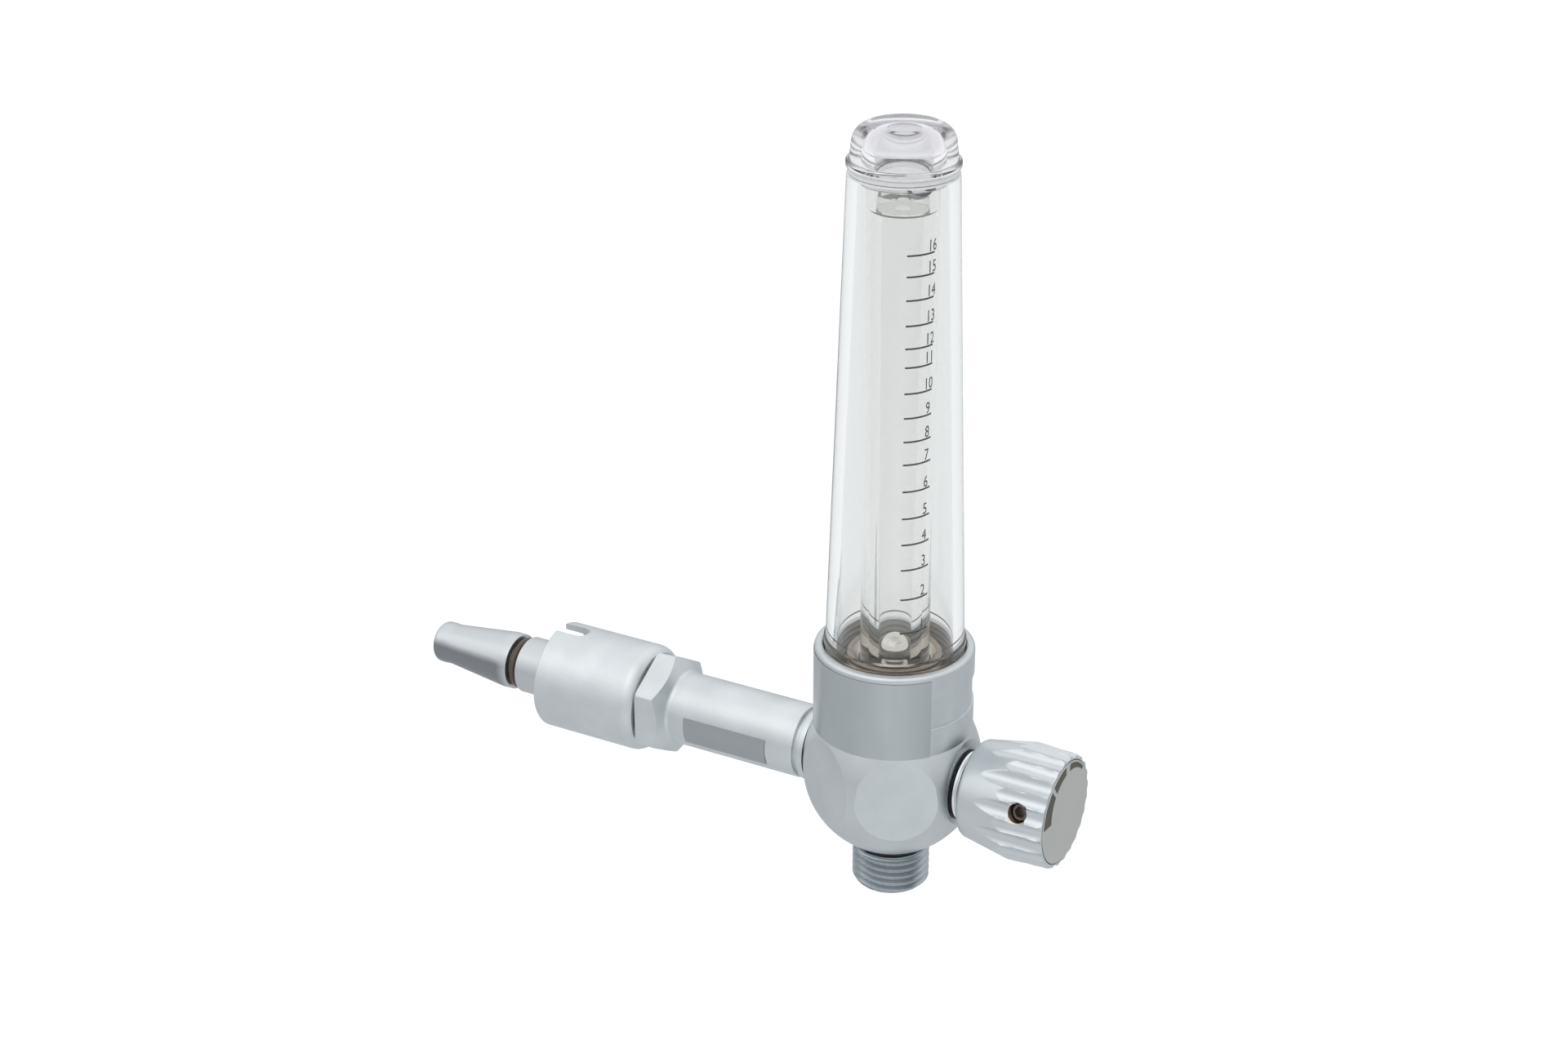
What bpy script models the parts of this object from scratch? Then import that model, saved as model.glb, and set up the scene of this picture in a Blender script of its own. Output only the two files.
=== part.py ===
"""Oxygen flowmeter: clear tube over a turned body, wall probe to one side, needle valve knob to the other.

The origin is on the probe's axis, at the front rim of the index collar, where the wall terminal begins.
+Z runs up the flow tube, +X from the wall through the body to the knob. Lengths are in metres.
"""
import math

import bmesh
import bpy

MM = 0.001
FIT = 0.3 * MM
SNUG = 0.15 * MM
EDGE = 0.3 * MM
OVERRUN = 1.0 * MM

# Main frame: tube axis and probe axis cross in the body's centre
WALL_TO_TUBE = 72.6 * MM

# Body
BODY_RADIUS = 14.5 * MM
BODY_RIM_Z = 25.3 * MM
BAND_TOP_Z = 20.1 * MM
BAND_BOTTOM_Z = 14.5 * MM
BAND_DEPTH = 0.35 * MM
CYLINDER_BOTTOM_Z = 9.1 * MM
BALL_RADIUS = 16.45 * MM
BALL_SHOULDER_Z = 2.0 * MM
BODY_BOTTOM_Z = -14.2 * MM
BODY_RIM_ROUNDING = 0.6 * MM
FLATS_ACROSS = 29.3 * MM
RECESS_RADIUS = 12.95 * MM
RECESS_FLOOR_Z = 17.0 * MM
SEAT_POCKET_RADIUS = 6.1 * MM
SEAT_POCKET_DEPTH = 2.8 * MM
SEAT_CHAMBER_HEIGHT = 1.0 * MM

# Outlet nipple, 9/16 inch connector size
OUTLET_THREAD_RADIUS = 7.145 * MM
OUTLET_BORE_RADIUS = 3.2 * MM
OUTLET_MOUTH_RADIUS = 4.5 * MM
OUTLET_TIP_Z = -23.9 * MM
OUTLET_SHOULDER_Z = -15.5 * MM
OUTLET_NECK_RADIUS = 5.9 * MM
OUTLET_NECK_LENGTH = 6.8 * MM
OUTLET_BEVEL = 0.9 * MM
OUTLET_SEAL_WIDTH = 1.0 * MM

# Inlet stem with its hexagon
STEM_RADIUS = 6.95 * MM
STEM_BORE_RADIUS = 2.5 * MM
STEM_SCREW_RADIUS = 5.9 * MM
STEM_SCREW_LENGTH = 6.5 * MM
STEM_FLANGE_WIDTH = 1.3 * MM
STEM_GROOVE_WIDTH = 0.9 * MM
STEM_GROOVE_DEPTH = 0.7 * MM
STEM_SEAL_WIDTH = 0.5 * MM
HEX_ACROSS_FLATS = 17.8 * MM
HEX_CORNER_RADIUS = 10.22 * MM
HEX_START_X = -45.6 * MM
HEX_END_X = -50.35 * MM
HEX_FRONT_CHAMFER = 0.9 * MM
HEX_FRONT_DROP = 1.42 * MM
HEX_BACK_CHAMFER = 0.45 * MM
HEX_CONE_LENGTH = 0.6 * MM
HEX_CONE_DROP = 0.95 * MM
HEX_FILLET_LENGTH = 1.05 * MM
HEX_FILLET_RISE = 0.35 * MM
SPIGOT_RADIUS = 7.6 * MM
SPIGOT_END_X = -62.0 * MM
SPIGOT_SOCKET_DEPTH = 6.7 * MM
SPIGOT_NECK_STEP = 0.6 * MM
FILTER_RADIUS = 4.2 * MM
FILTER_LENGTH = 2.7 * MM
FILTER_HOLE_RADIUS = 0.8 * MM

# Index collar
COLLAR_RADIUS = 10.35 * MM
COLLAR_REAR_X = -51.0 * MM
COLLAR_WALL = 1.2 * MM
COLLAR_WEB = 5.4 * MM
COLLAR_SHOULDER_ROUNDING = 2.7 * MM
COLLAR_SHOULDER_TURN = 56.0
SLOT_WIDTH = 3.4 * MM
SLOT_LENGTH = 6.4 * MM
CIRCLIP_WIDTH = 1.0 * MM
CIRCLIP_OUTER_RADIUS = 8.6 * MM
CIRCLIP_GROOVE_DEPTH = 0.7 * MM
CIRCLIP_OPENING = 3.0 * MM

# Probe nose
PROBE_REACH = 28.7 * MM
PROBE_TIP_RADIUS = 4.07 * MM
PROBE_CONE_RADIUS = 5.55 * MM
PROBE_BODY_RADIUS = 5.55 * MM
PROBE_BORE_RADIUS = 2.2 * MM
PROBE_TIP_ROUNDING = 1.0 * MM
PROBE_WAIST_DEPTH = 0.07 * MM
PROBE_BULGE_X = 2.3 * MM
PROBE_WAIST_X = 3.4 * MM
O_RING_GROOVE_X = -81.5 * MM
O_RING_GROOVE_WIDTH = 2.1 * MM
O_RING_GROOVE_RADIUS = 4.0 * MM
O_RING_GROOVE_LIP = 2.0 * MM
PROBE_O_RING_THICKNESS = 1.2 * MM

# Flow tube and float
TUBE_RADIUS = 6.25 * MM
TUBE_BOTTOM_Z = 19.3 * MM
TUBE_TOP_Z = 113.3 * MM
BORE_BOTTOM_RADIUS = 2.95 * MM
BORE_TOP_RADIUS = 3.6 * MM
BORE_TAPER_START_Z = 24.0 * MM
STOP_POCKET_RADIUS = 4.6 * MM
STOP_POCKET_DEPTH = 6.1 * MM
STOP_POCKET_Z = TUBE_TOP_Z - STOP_POCKET_DEPTH
FLOAT_RADIUS = 2.8 * MM
FLOAT_REST_GAP = 0.05 * MM
STOP_HEIGHT = 2.6 * MM
STOP_HOLE_RADIUS = 1.3 * MM
VENT_RADIUS = 2.5 * MM
VENT_DIRECTION = math.radians(-31.6)

# Seat of the flow tube
SEAT_RADIUS = 8.6 * MM
SEAT_TOP_Z = 24.2 * MM
SEAT_MOUTH_RADIUS = 7.9 * MM
SEAT_RIDGE_PITCH = 1.4 * MM
SEAT_RIDGE_DEPTH = 0.4 * MM
JET_RADIUS = 2.4 * MM
JET_HOLE_RADIUS = 1.2 * MM
JET_MOUTH_RADIUS = 1.7 * MM
JET_TOP_Z = 22.85 * MM
TUBE_SEAL_THICKNESS = 1.1 * MM
TUBE_SEAL_HEIGHT = 0.5 * MM
TUBE_SEAL_ROOM = 1.5 * MM
SEAT_LIP = 0.6 * MM
SEAT_MOUTH_DEPTH = 1.6 * MM

# Clear cover and its cap
COVER_WALL = 2.0 * MM
COVER_TOP_RADIUS = 9.6 * MM
COVER_TOP_Z = TUBE_TOP_Z
COVER_BASE_RADIUS = 12.5 * MM
COVER_BASE_Z = 27.2 * MM
COVER_FOOT_RADIUS = 12.6 * MM
COVER_BEAD_RADIUS = 12.8 * MM
COVER_BEAD_ROUNDING = 0.35 * MM
COVER_FOOT_Z = 18.4 * MM
CAP_GASKET_HEIGHT = 0.7 * MM
CAP_RADIUS = 9.0 * MM
CAP_RISE = 8.1 * MM
CAP_TOP_Z = COVER_TOP_Z + CAP_RISE
CAP_CORNER_RADIUS = 3.5 * MM
CAP_FLANGE_RADIUS = 9.78 * MM
CAP_FLANGE_HEIGHT = 1.3 * MM
CAP_SKIRT = 0.2 * MM
CAP_SPIGOT_RADIUS = 7.3 * MM
CAP_SPIGOT_DEPTH = 1.5 * MM
CAP_SPIGOT_Z = TUBE_TOP_Z - CAP_SPIGOT_DEPTH
CAP_ROOF = 2.1 * MM
CAP_HOLLOW_TOP_RADIUS = 3.5 * MM
CAP_HOLLOW_CONE = 1.8 * MM
CUSHION_HEIGHT = 0.8 * MM
CUSHION_WIDTH = 1.25 * MM

# Needle valve
VALVE_BORE_RADIUS = 5.3 * MM
VALVE_BORE_END_X = 5.5 * MM
VALVE_SEAT_WIDTH = 1.8 * MM
VALVE_SEAT_HOLE_RADIUS = 1.15 * MM
NEEDLE_TIP_X = 4.6 * MM
NEEDLE_TIP_RADIUS = 0.35 * MM
NEEDLE_SHOULDER = 0.4 * MM
SPINDLE_RADIUS = 2.0 * MM
SPINDLE_THREAD_RADIUS = 2.9 * MM
SPINDLE_THREAD_LENGTH = 2.1 * MM
SPINDLE_THREAD_X = 10.6 * MM
SPINDLE_TRAVEL = 1.5 * MM
SPINDLE_END_X = 31.6 * MM
BONNET_START_X = 10.9 * MM
BONNET_FLANGE_RADIUS = 6.6 * MM
BONNET_FLANGE_X = 15.15 * MM
BONNET_FLANGE_WIDTH = 1.0 * MM
BONNET_NECK_RADIUS = 6.4 * MM
BONNET_GROOVE_WIDTH = 0.45 * MM
BONNET_GROOVE_DEPTH = 0.9 * MM
BONNET_WAIST_DEPTH = 0.35 * MM
BONNET_END_X = 18.0 * MM
BONNET_SEAL_RADIUS = 6.75 * MM
SPINDLE_SEAL_X = 15.5 * MM
SPINDLE_SEAL_THICKNESS = 0.9 * MM

# Knob
KNOB_BACK_X = 17.0 * MM
KNOB_BACK_RADIUS = 9.0 * MM
KNOB_BACK_ROUNDING = 1.3 * MM
KNOB_RADIUS = 10.9 * MM
KNOB_SHOULDER_X = 26.8 * MM
KNOB_CHAMFER_X = 33.2 * MM
KNOB_FACE_X = 34.5 * MM
KNOB_FACE_RADIUS = 10.0 * MM
KNOB_HOLLOW_RADIUS = 7.3 * MM
KNOB_HOLLOW_DEPTH = 3.2 * MM
KNOB_CAP_RADIUS = 9.55 * MM
KNOB_CAP_THICKNESS = 1.0 * MM
KNOB_CAP_SPIGOT_LENGTH = 1.4 * MM
FLUTE_PAIRS = 12
FLUTE_RADIUS = 1.9 * MM
FLUTE_DEPTH = 0.62 * MM
LONG_FLUTE_START_X = 21.0 * MM
SHORT_FLUTE_START_X = 25.0 * MM
SCREW_DIRECTION = math.radians(162.0)
SCREW_X = 29.5 * MM
SCREW_RADIUS = 1.75 * MM
SCREW_LENGTH = 6.2 * MM
SCREW_SOCKET_ACROSS = 1.9 * MM
SCREW_SOCKET_DEPTH = 1.6 * MM
SCREW_SINK_RADIUS = 2.35 * MM
SCREW_POINT = 0.5 * MM

# Gas ways inside the body
INLET_WAY_RADIUS = 2.5 * MM
INLET_WAY_END_X = -3.8 * MM
INLET_RISER_X = -4.6 * MM
INLET_RISER_RADIUS = 1.4 * MM
RETURN_WAY_X = 9.7 * MM
RETURN_WAY_RADIUS = 0.9 * MM
OUTLET_WAY_RADIUS = 2.0 * MM
OUTLET_WAY_TOP_Z = 1.6 * MM

# Labels, bare films
FILM = 0.12 * MM
FILM_GAP = 0.06 * MM
BODY_LABEL_TOP_Z = 24.2 * MM
BODY_LABEL_START = math.radians(-36.0)
BODY_LABEL_SWEEP = math.radians(166.0)
STEM_LABEL_START_X = -23.2 * MM
STEM_LABEL_LENGTH = 17.6 * MM
STEM_LABEL_START = math.radians(164.8)
STEM_LABEL_SWEEP = math.radians(45.0)

# Facets round a turn
FINE = 36
MEDIUM = 26
SMALL = 20
COARSE = 14
KNOB_FACETS = 48


def clear_scene():
    for thing in list(bpy.data.objects):
        bpy.data.objects.remove(thing, do_unlink=True)


def new_collection(name):
    group = bpy.data.collections.new(name)
    bpy.context.scene.collection.children.link(group)
    return group


clear_scene()
PIECES = new_collection("oxygen_flowmeter")
CUTTERS = new_collection("cutters")


def new_axis(name, turn):
    """An empty in the body's centre, whose Z runs along the pieces that it carries."""
    axis = bpy.data.objects.new(name, None)
    axis.location = (WALL_TO_TUBE, 0, 0)
    axis.rotation_euler = turn
    PIECES.objects.link(axis)
    return axis


TUBE_AXIS = new_axis("tube_axis", (0, 0, 0))
PROBE_AXIS = new_axis("probe_axis", (0, math.radians(90), 0))


def finish(name, colour, roughness, metallic, clear=0.0):
    """The piece's own material."""
    look = bpy.data.materials.new(name)
    look.use_nodes = True
    shader = look.node_tree.nodes["Principled BSDF"]
    shader.inputs["Base Color"].default_value = (*colour, 1)
    shader.inputs["Roughness"].default_value = roughness
    shader.inputs["Metallic"].default_value = metallic
    shader.inputs["Transmission Weight"].default_value = clear
    return look


def satin_metal(name):
    return finish(name, (0.62, 0.65, 0.67), 0.38, 1.0)


def rubber(name, colour=(0.02, 0.02, 0.02)):
    return finish(name, colour, 0.6, 0.0)


def clear_plastic(name):
    return finish(name, (0.93, 0.94, 0.94), 0.05, 0.0, clear=1.0)


def add_object(name, mesh, axis, look):
    piece = bpy.data.objects.new(name, mesh)
    PIECES.objects.link(piece)
    piece.parent = axis
    mesh.materials.append(look)
    return piece


def turned(name, outline, axis, look, steps, closed):
    """A turned piece: (radius, height) points, down the outer side from the top, then up the inner side."""
    mesh = bpy.data.meshes.new(name)
    ends = [(i, i + 1) for i in range(len(outline) - 1)]
    if closed:
        ends.append((len(outline) - 1, 0))
    mesh.from_pydata([(radius, 0, height) for radius, height in outline], ends, [])
    piece = add_object(name, mesh, axis, look)
    spin = piece.modifiers.new("turning", "SCREW")
    spin.axis = "Z"
    spin.steps = steps
    spin.render_steps = steps
    spin.use_merge_vertices = True
    spin.merge_threshold = 0.00001
    spin.use_smooth_shade = True
    return piece


def arc(centre_radius, centre_height, radius, start, end, count):
    """Points on an arc of an outline, from angle start to end in degrees, 0 outwards and 90 up."""
    points = []
    for i in range(count + 1):
        angle = math.radians(start + (end - start) * i / count)
        points.append((centre_radius + radius * math.cos(angle), centre_height + radius * math.sin(angle)))
    return points


def ring(name, radius, thickness, height, axis, look, steps=COARSE):
    """An O-ring of round section, centred at radius."""
    return turned(name, arc(radius, height, thickness / 2, 90, -210, 5), axis, look, steps, closed=True)


def washer(name, outer, inner, top, height, axis, look, steps=COARSE):
    outline = [(outer, top), (outer, top - height), (inner, top - height), (inner, top)]
    return turned(name, outline, axis, look, steps, closed=True)


def put_away(cutter, axis):
    cutter.parent = axis
    cutter.hide_render = True
    cutter.display_type = "WIRE"
    for group in list(cutter.users_collection):
        group.objects.unlink(cutter)
    CUTTERS.objects.link(cutter)
    return cutter


def mesh_cutter(name, shape, axis):
    mesh = bpy.data.meshes.new(name)
    shape.to_mesh(mesh)
    shape.free()
    return put_away(bpy.data.objects.new(name, mesh), axis)


def rod(name, radius, bottom, top, axis, sides=20, across=(0, 0), end_radius=None):
    """A round cutter from bottom to top along its axis, standing at across."""
    shape = bmesh.new()
    end_radius = radius if end_radius is None else end_radius
    bmesh.ops.create_cone(shape, cap_ends=True, segments=sides, radius1=radius, radius2=end_radius,
                          depth=top - bottom)
    bmesh.ops.translate(shape, verts=shape.verts, vec=(across[0], across[1], (top + bottom) / 2))
    return mesh_cutter(name, shape, axis)


def cut(piece, cutter, operation="DIFFERENCE"):
    step = piece.modifiers.new(cutter.name, "BOOLEAN")
    step.operation = operation
    step.object = cutter
    step.solver = "EXACT"


def hexagon(name, across_flats, bottom, top, axis, turn=0.0):
    """A six-sided prism, its flats facing local X unless it is turned."""
    prism = rod(name, across_flats / 2 / math.cos(math.radians(30)), bottom, top, axis, sides=6)
    prism.rotation_euler = (0, 0, turn)
    return prism


BODY_FLAT_X = FLATS_ACROSS / 2
CORNERS_UP = math.radians(30)


def make_body():
    """Turned from hexagon bar: a cup for the clear cover on a ball with six wrench flats."""
    shoulder = math.sqrt(BALL_RADIUS ** 2 - BALL_SHOULDER_Z ** 2)
    flare = shoulder - BODY_RADIUS
    drop = CYLINDER_BOTTOM_Z - BALL_SHOULDER_Z
    bottom_angle = math.degrees(math.asin(BODY_BOTTOM_Z / BALL_RADIUS))
    shoulder_angle = math.degrees(math.asin(BALL_SHOULDER_Z / BALL_RADIUS))
    pocket_floor = RECESS_FLOOR_Z - SEAT_POCKET_DEPTH
    outlet_hole = OUTLET_NECK_RADIUS + FIT
    outlet_floor = BODY_BOTTOM_Z + OUTLET_NECK_LENGTH + FIT
    outline = [(0, pocket_floor), (SEAT_POCKET_RADIUS, pocket_floor), (SEAT_POCKET_RADIUS, RECESS_FLOOR_Z),
               (RECESS_RADIUS, RECESS_FLOOR_Z), (RECESS_RADIUS, BODY_RIM_Z)]
    rounding = BODY_RIM_ROUNDING
    outline += arc(BODY_RADIUS - rounding, BODY_RIM_Z - rounding, rounding, 90, 0, 3)
    outline += [(BODY_RADIUS, BAND_TOP_Z), (BODY_RADIUS - BAND_DEPTH, BAND_TOP_Z),
                (BODY_RADIUS - BAND_DEPTH, BAND_BOTTOM_Z), (BODY_RADIUS, BAND_BOTTOM_Z),
                (BODY_RADIUS, CYLINDER_BOTTOM_Z)]
    for share in (0.25, 0.5, 0.75):
        outline.append((BODY_RADIUS + flare * math.sin(math.radians(90 * share)),
                        CYLINDER_BOTTOM_Z - drop * share))
    outline += arc(0, 0, BALL_RADIUS, shoulder_angle, bottom_angle, 7)
    outline += [(outlet_hole, BODY_BOTTOM_Z), (outlet_hole, outlet_floor), (OUTLET_WAY_RADIUS, outlet_floor),
                (OUTLET_WAY_RADIUS, OUTLET_WAY_TOP_Z), (0, OUTLET_WAY_TOP_Z)]
    body = turned("flowmeter_body", outline, TUBE_AXIS, satin_metal("flowmeter_body"), FINE, closed=False)
    beyond = BALL_RADIUS + OVERRUN
    cut(body, hexagon("wrench_flats", FLATS_ACROSS, -beyond, BODY_RIM_Z + OVERRUN, TUBE_AXIS), "INTERSECT")
    stem_hole_end = -BODY_FLAT_X + STEM_SCREW_LENGTH + FIT
    cut(body, rod("stem_hole", STEM_SCREW_RADIUS + FIT, -beyond, stem_hole_end, PROBE_AXIS, SMALL))
    cut(body, rod("inlet_way", INLET_WAY_RADIUS, stem_hole_end - OVERRUN, INLET_WAY_END_X, PROBE_AXIS, 12))
    cut(body, rod("inlet_riser", INLET_RISER_RADIUS, 0, pocket_floor + OVERRUN, TUBE_AXIS, 12,
                  (INLET_RISER_X, 0)))
    cut(body, rod("valve_hole", VALVE_BORE_RADIUS, VALVE_BORE_END_X, beyond, PROBE_AXIS, SMALL))
    cut(body, rod("valve_way", VALVE_SEAT_HOLE_RADIUS + SNUG, 0, VALVE_BORE_END_X + OVERRUN, PROBE_AXIS, 12))
    cut(body, rod("return_way", RETURN_WAY_RADIUS, VALVE_BORE_RADIUS - OVERRUN, RECESS_FLOOR_Z + OVERRUN,
                  TUBE_AXIS, 10, (RETURN_WAY_X, 0)))


def make_outlet():
    """Threaded outlet nipple screwed into the ball's underside, and the seal in its neck."""
    mouth_depth = OUTLET_MOUTH_RADIUS - OUTLET_BORE_RADIUS
    top = BODY_BOTTOM_Z + OUTLET_NECK_LENGTH
    outline = [(OUTLET_NECK_RADIUS, top), (OUTLET_NECK_RADIUS, OUTLET_SHOULDER_Z),
               (OUTLET_THREAD_RADIUS - EDGE, OUTLET_SHOULDER_Z),
               (OUTLET_THREAD_RADIUS, OUTLET_SHOULDER_Z - EDGE),
               (OUTLET_THREAD_RADIUS, OUTLET_TIP_Z + OUTLET_BEVEL),
               (OUTLET_THREAD_RADIUS - OUTLET_BEVEL, OUTLET_TIP_Z),
               (OUTLET_MOUTH_RADIUS, OUTLET_TIP_Z), (OUTLET_BORE_RADIUS, OUTLET_TIP_Z + mouth_depth),
               (OUTLET_BORE_RADIUS, top)]
    turned("outlet_nipple", outline, TUBE_AXIS, finish("outlet_nipple", (0.5, 0.56, 0.6), 0.35, 1.0),
           MEDIUM, closed=True)
    seal_height = BODY_BOTTOM_Z - OUTLET_SHOULDER_Z - 2 * SNUG
    seal_hole = OUTLET_NECK_RADIUS + SNUG
    washer("outlet_seal", seal_hole + OUTLET_SEAL_WIDTH, seal_hole, BODY_BOTTOM_Z - SNUG, seal_height,
           TUBE_AXIS, rubber("outlet_seal"))


STEM_FACE_X = -BODY_FLAT_X - STEM_SEAL_WIDTH - SNUG
STEM_END_X = STEM_FACE_X - STEM_FLANGE_WIDTH - STEM_GROOVE_WIDTH
SOCKET_RADIUS = PROBE_BODY_RADIUS + FIT
SOCKET_FLOOR_X = SPIGOT_END_X + SPIGOT_SOCKET_DEPTH
FILTER_POCKET_FLOOR_X = SOCKET_FLOOR_X + FILTER_LENGTH + 2 * SNUG
CIRCLIP_X = COLLAR_REAR_X - COLLAR_WEB - SNUG


def make_inlet_stem():
    """Round stem with a hexagon, turned in one piece; its thread goes into the body's side."""
    groove = STEM_RADIUS - STEM_GROOVE_DEPTH
    shoulder = HEX_CORNER_RADIUS - HEX_FRONT_DROP
    cone_start = HEX_START_X + HEX_CONE_LENGTH
    fillet_start = cone_start + HEX_FILLET_LENGTH
    neck = SPIGOT_RADIUS + SPIGOT_NECK_STEP
    circlip_groove = SPIGOT_RADIUS - CIRCLIP_GROOVE_DEPTH
    screw_end = -BODY_FLAT_X + STEM_SCREW_LENGTH
    outline = [(STEM_SCREW_RADIUS, screw_end), (STEM_SCREW_RADIUS, STEM_FACE_X),
               (STEM_RADIUS, STEM_FACE_X), (STEM_RADIUS, STEM_FACE_X - STEM_FLANGE_WIDTH),
               (groove, STEM_FACE_X - STEM_FLANGE_WIDTH), (groove, STEM_END_X),
               (STEM_RADIUS - EDGE, STEM_END_X), (STEM_RADIUS, STEM_END_X - EDGE),
               (STEM_RADIUS, fillet_start),
               (STEM_RADIUS + HEX_FILLET_RISE, fillet_start - HEX_FILLET_LENGTH / 2),
               (shoulder - HEX_CONE_DROP, cone_start), (shoulder, HEX_START_X),
               (HEX_CORNER_RADIUS, HEX_START_X - HEX_FRONT_CHAMFER),
               (HEX_CORNER_RADIUS, HEX_END_X + HEX_BACK_CHAMFER),
               (HEX_CORNER_RADIUS - HEX_BACK_CHAMFER, HEX_END_X), (neck, HEX_END_X),
               (neck, COLLAR_REAR_X + FIT), (SPIGOT_RADIUS, COLLAR_REAR_X + FIT), (SPIGOT_RADIUS, CIRCLIP_X),
               (circlip_groove, CIRCLIP_X), (circlip_groove, CIRCLIP_X - CIRCLIP_WIDTH - 2 * SNUG),
               (SPIGOT_RADIUS, CIRCLIP_X - CIRCLIP_WIDTH - 2 * SNUG), (SPIGOT_RADIUS, SPIGOT_END_X),
               (SOCKET_RADIUS, SPIGOT_END_X), (SOCKET_RADIUS, SOCKET_FLOOR_X),
               (FILTER_RADIUS + FIT, SOCKET_FLOOR_X), (FILTER_RADIUS + FIT, FILTER_POCKET_FLOOR_X),
               (STEM_BORE_RADIUS, FILTER_POCKET_FLOOR_X), (STEM_BORE_RADIUS, screw_end)]
    stem = turned("inlet_stem", outline, PROBE_AXIS, satin_metal("inlet_stem"), MEDIUM, closed=True)
    cut(stem, hexagon("stem_hexagon", HEX_ACROSS_FLATS, SPIGOT_END_X - OVERRUN, 0, PROBE_AXIS, CORNERS_UP),
        "INTERSECT")
    washer("stem_seal", STEM_RADIUS + SNUG, STEM_SCREW_RADIUS + SNUG, -BODY_FLAT_X - SNUG / 2,
           STEM_SEAL_WIDTH, PROBE_AXIS, rubber("stem_seal", (0.05, 0.07, 0.1)))
    washer("inlet_filter", FILTER_RADIUS, FILTER_HOLE_RADIUS, FILTER_POCKET_FLOOR_X - SNUG, FILTER_LENGTH,
           PROBE_AXIS, finish("inlet_filter", (0.45, 0.3, 0.15), 0.7, 1.0))


def make_collar():
    """Index collar, a sleeve open to the front with a keyway, held on the stem's spigot by a circlip."""
    cavity_radius = COLLAR_RADIUS - COLLAR_WALL
    bore = SPIGOT_RADIUS + FIT
    front = -WALL_TO_TUBE
    web_face = COLLAR_REAR_X - COLLAR_WEB
    rounding = COLLAR_SHOULDER_ROUNDING
    rounding_x = COLLAR_REAR_X - rounding * math.sin(math.radians(COLLAR_SHOULDER_TURN))
    outline = arc(COLLAR_RADIUS - rounding, rounding_x, rounding, COLLAR_SHOULDER_TURN, 0, 3)
    outline += [(COLLAR_RADIUS, front + EDGE), (COLLAR_RADIUS - EDGE, front), (cavity_radius, front),
               (cavity_radius, web_face), (bore, web_face), (bore, COLLAR_REAR_X)]
    collar = turned("index_collar", outline, PROBE_AXIS, satin_metal("index_collar"), FINE, closed=True)
    slot_end = front + SLOT_LENGTH
    keyway = bmesh.new()
    bmesh.ops.create_cube(keyway, size=1)
    bmesh.ops.scale(keyway, verts=keyway.verts, vec=(COLLAR_RADIUS, SLOT_WIDTH, SLOT_LENGTH))
    bmesh.ops.translate(keyway, verts=keyway.verts,
                        vec=(-COLLAR_RADIUS, 0, slot_end - SLOT_WIDTH / 2 - SLOT_LENGTH / 2))
    cut(collar, mesh_cutter("keyway", keyway, PROBE_AXIS))
    round_end = bmesh.new()
    bmesh.ops.create_cone(round_end, cap_ends=True, segments=16, radius1=SLOT_WIDTH / 2,
                          radius2=SLOT_WIDTH / 2, depth=COLLAR_RADIUS)
    end_cutter = mesh_cutter("keyway_end", round_end, PROBE_AXIS)
    end_cutter.rotation_euler = (0, math.radians(90), 0)
    end_cutter.location = (-COLLAR_RADIUS, 0, slot_end - SLOT_WIDTH / 2)
    cut(collar, end_cutter)
    clip = washer("collar_circlip", CIRCLIP_OUTER_RADIUS, SPIGOT_RADIUS - CIRCLIP_GROOVE_DEPTH + SNUG,
                  CIRCLIP_X - SNUG, CIRCLIP_WIDTH, PROBE_AXIS,
                  finish("collar_circlip", (0.3, 0.3, 0.3), 0.4, 1.0), SMALL)
    gap = bmesh.new()
    bmesh.ops.create_cube(gap, size=1)
    bmesh.ops.scale(gap, verts=gap.verts, vec=(2 * COLLAR_RADIUS, CIRCLIP_OPENING, 2 * CIRCLIP_WIDTH))
    bmesh.ops.translate(gap, verts=gap.verts, vec=(COLLAR_RADIUS, 0, CIRCLIP_X - CIRCLIP_WIDTH / 2))
    cut(clip, mesh_cutter("circlip_gap", gap, PROBE_AXIS))


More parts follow.
